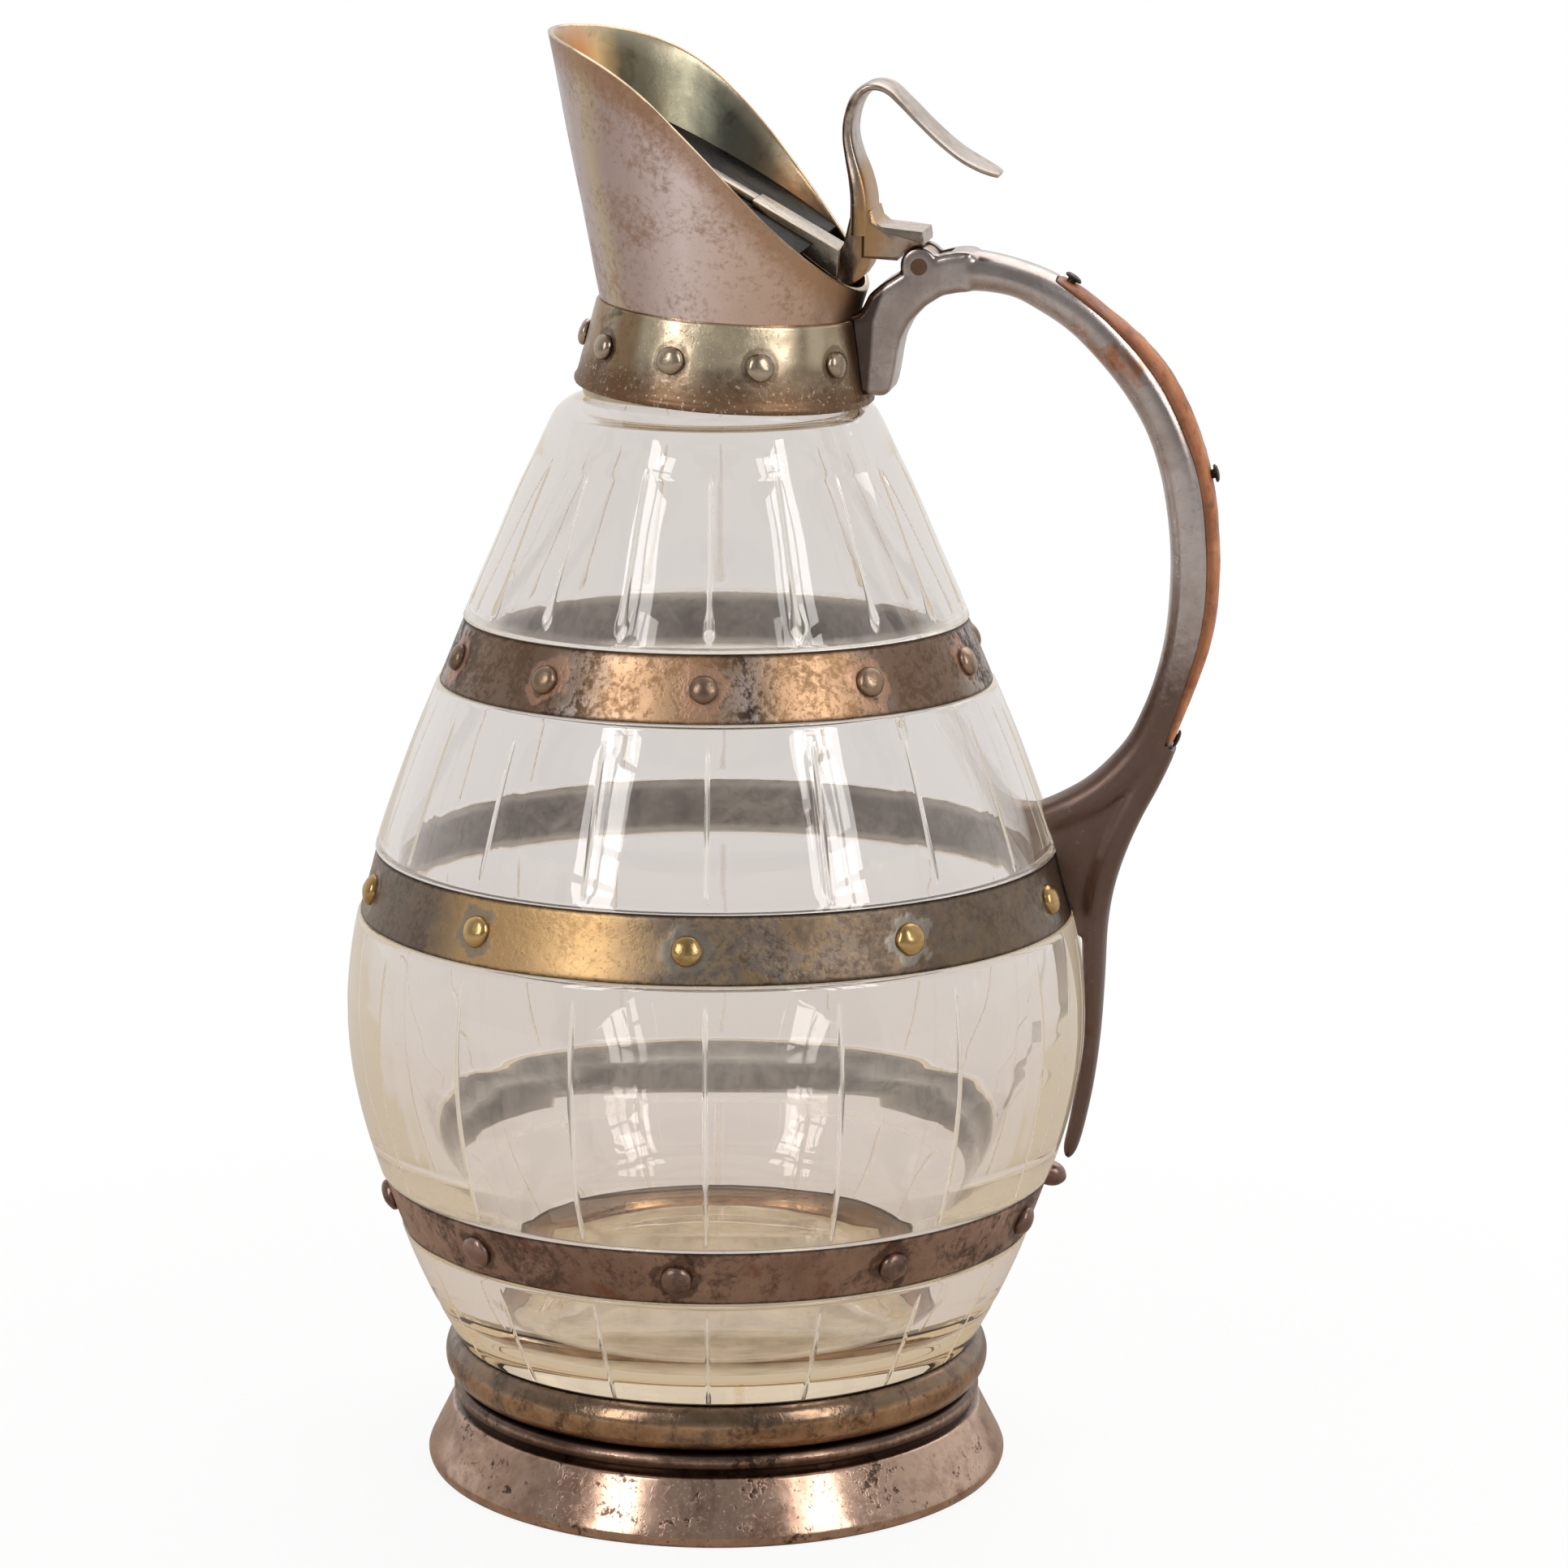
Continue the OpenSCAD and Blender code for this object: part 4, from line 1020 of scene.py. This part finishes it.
START_X = 45.4
HINGE_X, HINGE_Z, LUG_R, KNUCKLE_W, FORK_W, PIN_R = 37.1, 28.0, 3.6, 5.0, 12.0, 1.6
# Longer than any hole is deep
THROUGH = 20
# The middle lines of the bow and the tail, (across, height, thickness, width)
BOW = [
    (START_X, 27.4, 8, 12), (50.5, 27.3, 7.4, 11.8), (56, 26.5, 7, 11.6), (61.4, 24.6, 7.5, 11.4),
    (68.8, 20.8, 8.1, 11.4), (76.2, 14.6, 8.4, 11.4), (82.2, 8, 8.5, 11.4), (86.9, 0.7, 8.4, 11.4),
    (90.5, -8.2, 8.5, 11.4), (93, -18.8, 8.6, 11.4), (94, -28, 8.6, 11.4), (93.8, -38.3, 8.0, 11.4),
    (92.5, -47.4, 7.6, 11.2), (90.6, -55.6, 8.0, 10.8), (87.2, -63.6, 8.0, 10.4), (80.6, -71.6, 7.6, 10),
    (73.8, -76.4, 7.0, 9.2), (67, -79.8, 6.6, 8.4)]
TAIL = [
    (92.2, -57, 5, 9), (91, -62, 5.6, 9.6), (88.6, -68.6, 5.8, 9.8), (85.7, -75.8, 5.6, 9.8),
    (83.2, -83.4, 5.6, 9.6), (81.5, -91.2, 5.6, 9.4), (81.2, -99.4, 5.0, 9.2), (81.8, -108.6, 4.4, 9),
    (82.4, -120, 3.6, 8.6), (82.1, -130.4, 3.4, 8.2), (81.2, -139.4, 3.2, 7.6), (80.3, -145.2, 2.8, 6.6),
    (79.9, -147.4, 1.4, 4.6)]
WEB = [(67, -79), (74, -77), (82, -72), (88, -70), (86, -80), (84, -90), (82, -101), (77, -101), (73, -92)]
STRIP_OUTER = [
    (63.6, 28.1), (67.3, 26.3), (70.4, 24.4), (73.9, 22), (77.3, 19.8), (80.7, 17.2), (83.6, 14.5),
    (86.4, 11.4), (89.4, 7), (91.8, 2.6), (94.3, -3), (96.1, -8.4), (97.4, -13.6), (98.3, -19.1),
    (99, -24.6), (99.3, -31), (99.2, -36.4), (98.5, -42), (97.3, -47.1), (96, -51.8), (94.9, -55.4),
    (94, -58.6), (93.3, -61.2)]
STRIP_INNER = [
    (63.2, 27.2), (66.7, 25.2), (69.9, 23.2), (73.2, 20.9), (76.4, 18.2), (79.6, 15.3), (82.3, 12.4),
    (84.8, 9.4), (87.4, 5.4), (89.7, 1.2), (92.2, -4), (94, -9.1), (95.2, -14.1), (96.1, -19.4),
    (96.8, -24.8), (97.1, -31), (97, -36.2), (96.3, -41.6), (95.2, -46.5), (94.2, -51.2), (93.3, -54.9),
    (92.5, -58.1), (91.9, -60.7)]


def out_of_glass(p):
    """Keeps a point in the jug's own millimetres outside the glass and the hoops."""
    if 41 < p.z < 205:
        r = math.hypot(p.x, p.y)
        need = glass_r(p.z) + 0.12
        if r < need:
            return Vector((p.x * need / r, p.y * need / r, p.z))
    return p


def build_handle():
    """Bracket, bow and tail, brazed and dressed into one."""
    side = [
        (24, 2.2), (32, 2.2), (33.3, 3.2), (33.8, 5.6), (34.2, 10), (34.6, 13.4), (36, 16.8), (38.8, 20.2),
        (42, 22.6), (START_X, 23.5), (START_X + 2, 23.7), (START_X + 2, 31.2), (START_X, 31.4), (43, 31),
        (41, 30.4), (HINGE_X, HINGE_Z), (33.4, 26.2), (30.2, 23.8), (27.9, 21.6), (27.3, 20), (26.4, 18),
        (24, 17)]
    parts = [bar(smooth(BOW, 4)), bar(smooth(TAIL, 4)), plate(smooth(WEB[:4], 3) + WEB[4:], 7.2),
             eased_plate(side, FORK_W, 1.1),
             eased_plate(arc(HINGE_X, HINGE_Z, LUG_R, 0, 352.5, 47), FORK_W, 0.6)]
    work = melt(parts, 0.42, 0.6, 6)
    seat = smooth(STRIP_INNER, 3) + [(94, -62.4), (108, -56), (112, 0), (80, 36), (63, 31)]
    slot_w, slot_r = KNUCKLE_W + 0.4, LUG_R + 0.6
    slot = [(HINGE_X - slot_r, HINGE_Z), (42.8, HINGE_Z), (42.8, 45), (HINGE_X - slot_r, 45)]
    cut(work, plate(seat, 2 * THROUGH))
    cut(work, rod(HINGE_X, HINGE_Z, slot_r, slot_w))
    cut(work, plate(slot, slot_w))
    cut(work, rod(HINGE_X, HINGE_Z, PIN_R, THROUGH))
    ring = [(COLLAR_LOW + 0.16, -3), (COLLAR_LOW + 0.16, 0), (COLLAR_TOP + 0.16, COLLAR_H),
            (spout_out(COLLAR_H + 0.1) + 0.05, COLLAR_H + 0.1), (spout_out(34) + 0.05, 34)]
    cut(work, (turned(ring, 120)[0], tube_faces(len(ring), 120)))

    def dirt(q):
        return step(-26, -58, q.z) * 0.9

    # Painted shade on the bracket where it meets the collar
    def shade_by_collar(q):
        return 1 - step(29.0, 30.6, math.hypot(q.x, q.y) - max(0.0, q.z - 17) * 0.25) if q.z > -2 else 0.0

    piece = finish_piece(work, "handle_bow", M_HANDLE, shape=out_of_glass, attrs={"edge": dirt, "painted_shade": shade_by_collar})
    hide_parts("handle", "hinge_bracket")


build_handle()


def build_strip():
    outer, inner = smooth(STRIP_OUTER, 4), smooth(STRIP_INNER, 4)
    w, cols = 8.6, 13
    verts, edge = [], []
    n = len(outer)
    for i, (o, q) in enumerate(zip(outer, inner)):
        ends = min(i, n - 1 - i)
        tuck = 1 - 0.45 * math.exp(-ends / 1.2)
        half = w / 2 * (1 - 0.25 * math.exp(-ends / 1.0))
        ox, oz = lerp(q[0], o[0], tuck), lerp(q[1], o[1], tuck)
        for k in range(cols):
            f = -1 + 2 * k / (cols - 1)
            crown = 1 - 0.62 * abs(f) ** 3.5
            wave = 1 + 0.06 * wobble((i * 2.0, k, 3), 0.4, 5)
            rise = min(crown * wave, 0.98)
            verts.append((lerp(q[0] + 0.05, ox, rise), f * half, lerp(q[1] + 0.02, oz, rise)))
            edge.append(abs(f) ** 3)
        for k in range(cols):
            f = 1 - 2 * k / (cols - 1)
            verts.append((q[0] + 0.05, f * half, q[1] + 0.02))
            edge.append(1.0)
    obj = make("grip_strip_leather", verts, tube_faces(n, 2 * cols), [LEATHER], place=MOUNT, sharp=50,
               attrs={"edge": edge})
    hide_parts("grip_strip")


build_strip()


# ---------- lid ----------

SLOPE = math.radians(26)
FLAP_T = 1.2
ARM_W, TONGUE_W = 10.8, 5.4


def flap_top(x):
    return 27.4 + FLAP_T / 2 / math.cos(SLOPE) + math.tan(SLOPE) * (21.5 - x)


def build_arm():
    notch = 6.05
    step_up = [(4, flap_top(4) + 0.02), (4, flap_top(4) + 1.3)]
    wedge = step_up + [(21.4, flap_top(21.4) + 1.5), (21.4, 24.1), (16.3, 27.2), (10.5, 31.2), (notch, 34),
                       (notch, flap_top(notch) + 0.02)]
    tongue = step_up + [(-8, flap_top(-8) + 1.1), (-9.5, flap_top(-9.5) + 0.4), (-9.5, flap_top(-9.5) + 0.02)]
    work = solid_of("arm", *joined([plate(wedge, ARM_W), plate(tongue, TONGUE_W)]))
    mod = work.modifiers.new("bevel", "BEVEL")
    mod.width = 0.3
    mod.segments = 3
    mod.limit_method = "ANGLE"
    mod.angle_limit = math.radians(25)
    bake(work)
    obj = finish_piece(work, "lid_arm_strap", M_ARM, body="lid", sharp=40)
    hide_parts("lid_arm")


build_arm()

# The lever's middle line, (across, height, thickness), and half its width, first by height, then by reach
NECK = [
    (25.2, 33, 4.4), (24.9, 39, 4.2), (23.9, 43.4, 3.6), (22.4, 47.6, 2.8), (21.4, 51.4, 2.4),
    (21.4, 55, 2.3), (22.5, 58.8, 2.1), (25, 61.1, 1.8), (28.2, 60.9, 1.5), (31.7, 58.3, 1.3),
    (35.4, 55.1, 1.2), (39.4, 51.9, 1.2), (43.2, 49.4, 1.2), (47, 47.6, 1.2), (50.6, 46.2, 1)]
NECK_WIDTHS = [
    (22, 5.4), (27.6, 5.4), (30.5, 6.8), (38, 7.4), (43, 7), (48, 5.9), (52, 5.4), (56, 5.6), (59, 6.6),
    (63, 7.2)]
ARM_WIDTHS = [
    (29, 6.6), (34, 7.2), (41, 7.4), (45, 7.8), (47.6, 7.2), (49.4, 5.8), (50.7, 3.6), (51.2, 1.2)]


def build_lever():
    stations = []
    for x, z, thick in smooth(NECK, 5):
        half = lookup(NECK_WIDTHS, z) if x < 29 else lookup(ARM_WIDTHS, x)
        stations.append((x, z, thick, 2 * half))
    heel = [(21.45, 24.1), (22.6, 23.3), (24.4, 23.4), (26, 24.7), (27.1, 26.6), (27.7, 28.7), (27.7, 34.6),
            (23, 36), (22.2, 31), (21.45, 29.6)]
    block = [(26, 28.8)] + arc(HINGE_X, HINGE_Z, LUG_R + 0.65, 168, 82, 10)
    block += [(37.7, 33), (37.3, 34.7), (29.4, 35), (28, 36), (27.2, 38), (25.4, 38)]
    bridge = [(33.6, 28), (37, 28), (37, 33.4), (33.6, 33.4)]
    work = solid_of("lever", *bar(stations, power=4.0))
    for part in (eased_plate(block, 13.6, 0.7), eased_plate(heel, ARM_W, 0.5),
                 rod(HINGE_X, HINGE_Z, LUG_R - 0.2, KNUCKLE_W), plate(bridge, KNUCKLE_W)):
        cut(work, part, "UNION")
    cut(work, rod(HINGE_X, HINGE_Z, PIN_R + 0.06, THROUGH))

    # A painted highlight along the arm's long rounded edges
    def painted_crest_highlight(q):
        return clamp(1 - abs(abs(q.y) - 7.2) / 0.8) if q.x > 29 and q.z > 44 else 0.0

    def tanned(q):
        side = 0.25 if q.x > 27.3 and abs(q.y) > 6.2 and q.z < 36 else 1.0
        return (1 - step(48, 58, q.z)) * step(23, 25.4, q.x) * (1 - step(38, 40, q.x)) * side

    obj = finish_piece(work, "thumb_lever_arm", M_LEVER, body="lid", attrs={"painted_crest_highlight": painted_crest_highlight, "edge": tanned})
    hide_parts("thumb_lever")


build_lever()


# ---------- CAD pieces that stay as they are ----------

def dress(node, paint):
    """Gives a CAD node its material; its mesh stays as it is."""
    mesh = NODES[node].data
    mesh.materials.clear()
    mesh.materials.append(paint)


dress("base_plate", M_BASE)
dress("base_plaster", PLASTER)
dress("neck_plaster", PLASTER)
dress("lid_flap", M_FLAP_IN_SHADE)
dress("hinge_pin", M_PIN)
dress("grip_pins", M_NAIL)


# ---------- floor, light and camera ----------

# What is seen through the glass
PANE = (0.735, 0.715, 0.72, 1)
CAMERA_TURN, CAMERA_TILT = 10.6, 79


def build_floor():
    """A pale floor: white to the camera with the jug's shadow, warm in the metal, and PANE behind glass."""
    p = Paint("studio_floor")
    away = p.fed("VectorMath", [(0, p.where)], operation="LENGTH")["Value"]
    path = p.node("LightPath").outputs
    lit = p.fed("BsdfDiffuse", [("Color", (0.84, 0.82, 0.8, 1))])[0]
    mirrored = p.emit(p.mix(p.range(away, 0.12, 0.5), (0.4, 0.32, 0.25, 1), (0.7, 0.67, 0.64, 1)))
    seen = p.emit(p.mix(p.range(away, 0.1, 0.5), (0.66, 0.59, 0.55, 1), PANE))
    surface = p.blend(p.mul(path["Is Glossy Ray"], 0.85), lit, mirrored)
    behind = p.mul(p.above(path["Transmission Depth"], 0.5), p.math("SUBTRACT", 1.0, path["Is Diffuse Ray"]))
    surface = p.blend(behind, surface, seen)
    white = p.mul(path["Is Camera Ray"], p.range(away, 0.1, 0.3, 0.9, 1.0))
    surface = p.blend(white, surface, p.emit((1, 1, 1, 1)))
    mesh = bpy.data.meshes.new("studio_floor")
    half = 1.6
    corners = [(-half, -half, 0), (half, -half, 0), (half, half, 0), (-half, half, 0)]
    mesh.from_pydata(corners, [], [(0, 1, 2, 3)])
    mesh.materials.append(p.done(surface))
    floor = linked("studio_floor", mesh)


def build_world():
    """White to the camera, PANE behind glass, and otherwise a room that is darker on the camera's side."""
    p = Paint("studio_world", world=True)
    path = p.node("LightPath").outputs
    depth = p.fed("SeparateXYZ", [(0, p.where)])["Y"]
    room, pane, white = (p.fed("Background", [("Color", colour)])[0]
                         for colour in (p.range(depth, -0.5, 0.5, 0.3, 0.9), PANE, (1, 1, 1, 1)))
    surface = p.blend(p.above(path["Transmission Depth"], 0.5), room, pane)
    bpy.context.scene.world = p.done(p.blend(path["Is Camera Ray"], surface, white))


def lamp(name, place, aim, wide, tall, light):
    """A soft lamp; light is how bright its face is."""
    data = bpy.data.lights.new(name, "AREA")
    data.shape = "RECTANGLE"
    data.size, data.size_y = wide, tall
    data.energy = light * math.pi * wide * tall
    data.color = (1.0, 0.98, 0.96)
    obj = linked(name, data)
    obj.location = place
    obj.rotation_euler = (aim - place).to_track_quat("-Z", "Y").to_euler()


def window(name, azimuth, distance, height, wide, tall, light, cols=1, rows=1, bars=0.035):
    """A tall window of panes, azimuth in degrees from the camera's side, positive to the right."""
    a = math.radians(CAMERA_TURN + azimuth)
    middle = Vector((distance * math.sin(a), -distance * math.cos(a), height))
    out = (Vector((0, 0, 0.12)) - middle).normalized()
    across = out.cross(Vector((0, 0, 1))).normalized()
    up = across.cross(out)
    for i in range(cols):
        for k in range(rows):
            place = middle + across * wide * ((i + 0.5) / cols - 0.5) + up * tall * ((k + 0.5) / rows - 0.5)
            lamp(f"{name}_{i}_{k}", place, place + out, wide / cols - bars, tall / rows - bars, light)


build_floor()
build_world()
window("window_right", 46, 1.5, 0.9, 0.36, 1.0, 7.5, 2, 3)
window("window_right_narrow", 35.5, 1.5, 0.9, 0.13, 1.0, 6.0, 1, 2)
window("window_left", -42, 1.5, 0.9, 0.42, 1.0, 7.5, 2, 3)
window("sky_above", 150, 0.9, 1.3, 1.44, 1.44, 1.3)

camera = bpy.data.cameras.new("camera")
camera.sensor_width = 36
camera.lens = 103.53
camera.shift_x = 0.04306
eye = linked("camera", camera)
eye.location = (0.1615, -0.8628, 0.3087)
eye.rotation_euler = (math.radians(CAMERA_TILT), 0, math.radians(CAMERA_TURN))
bpy.context.scene.camera = eye
bpy.context.scene.view_settings.view_transform = "Standard"
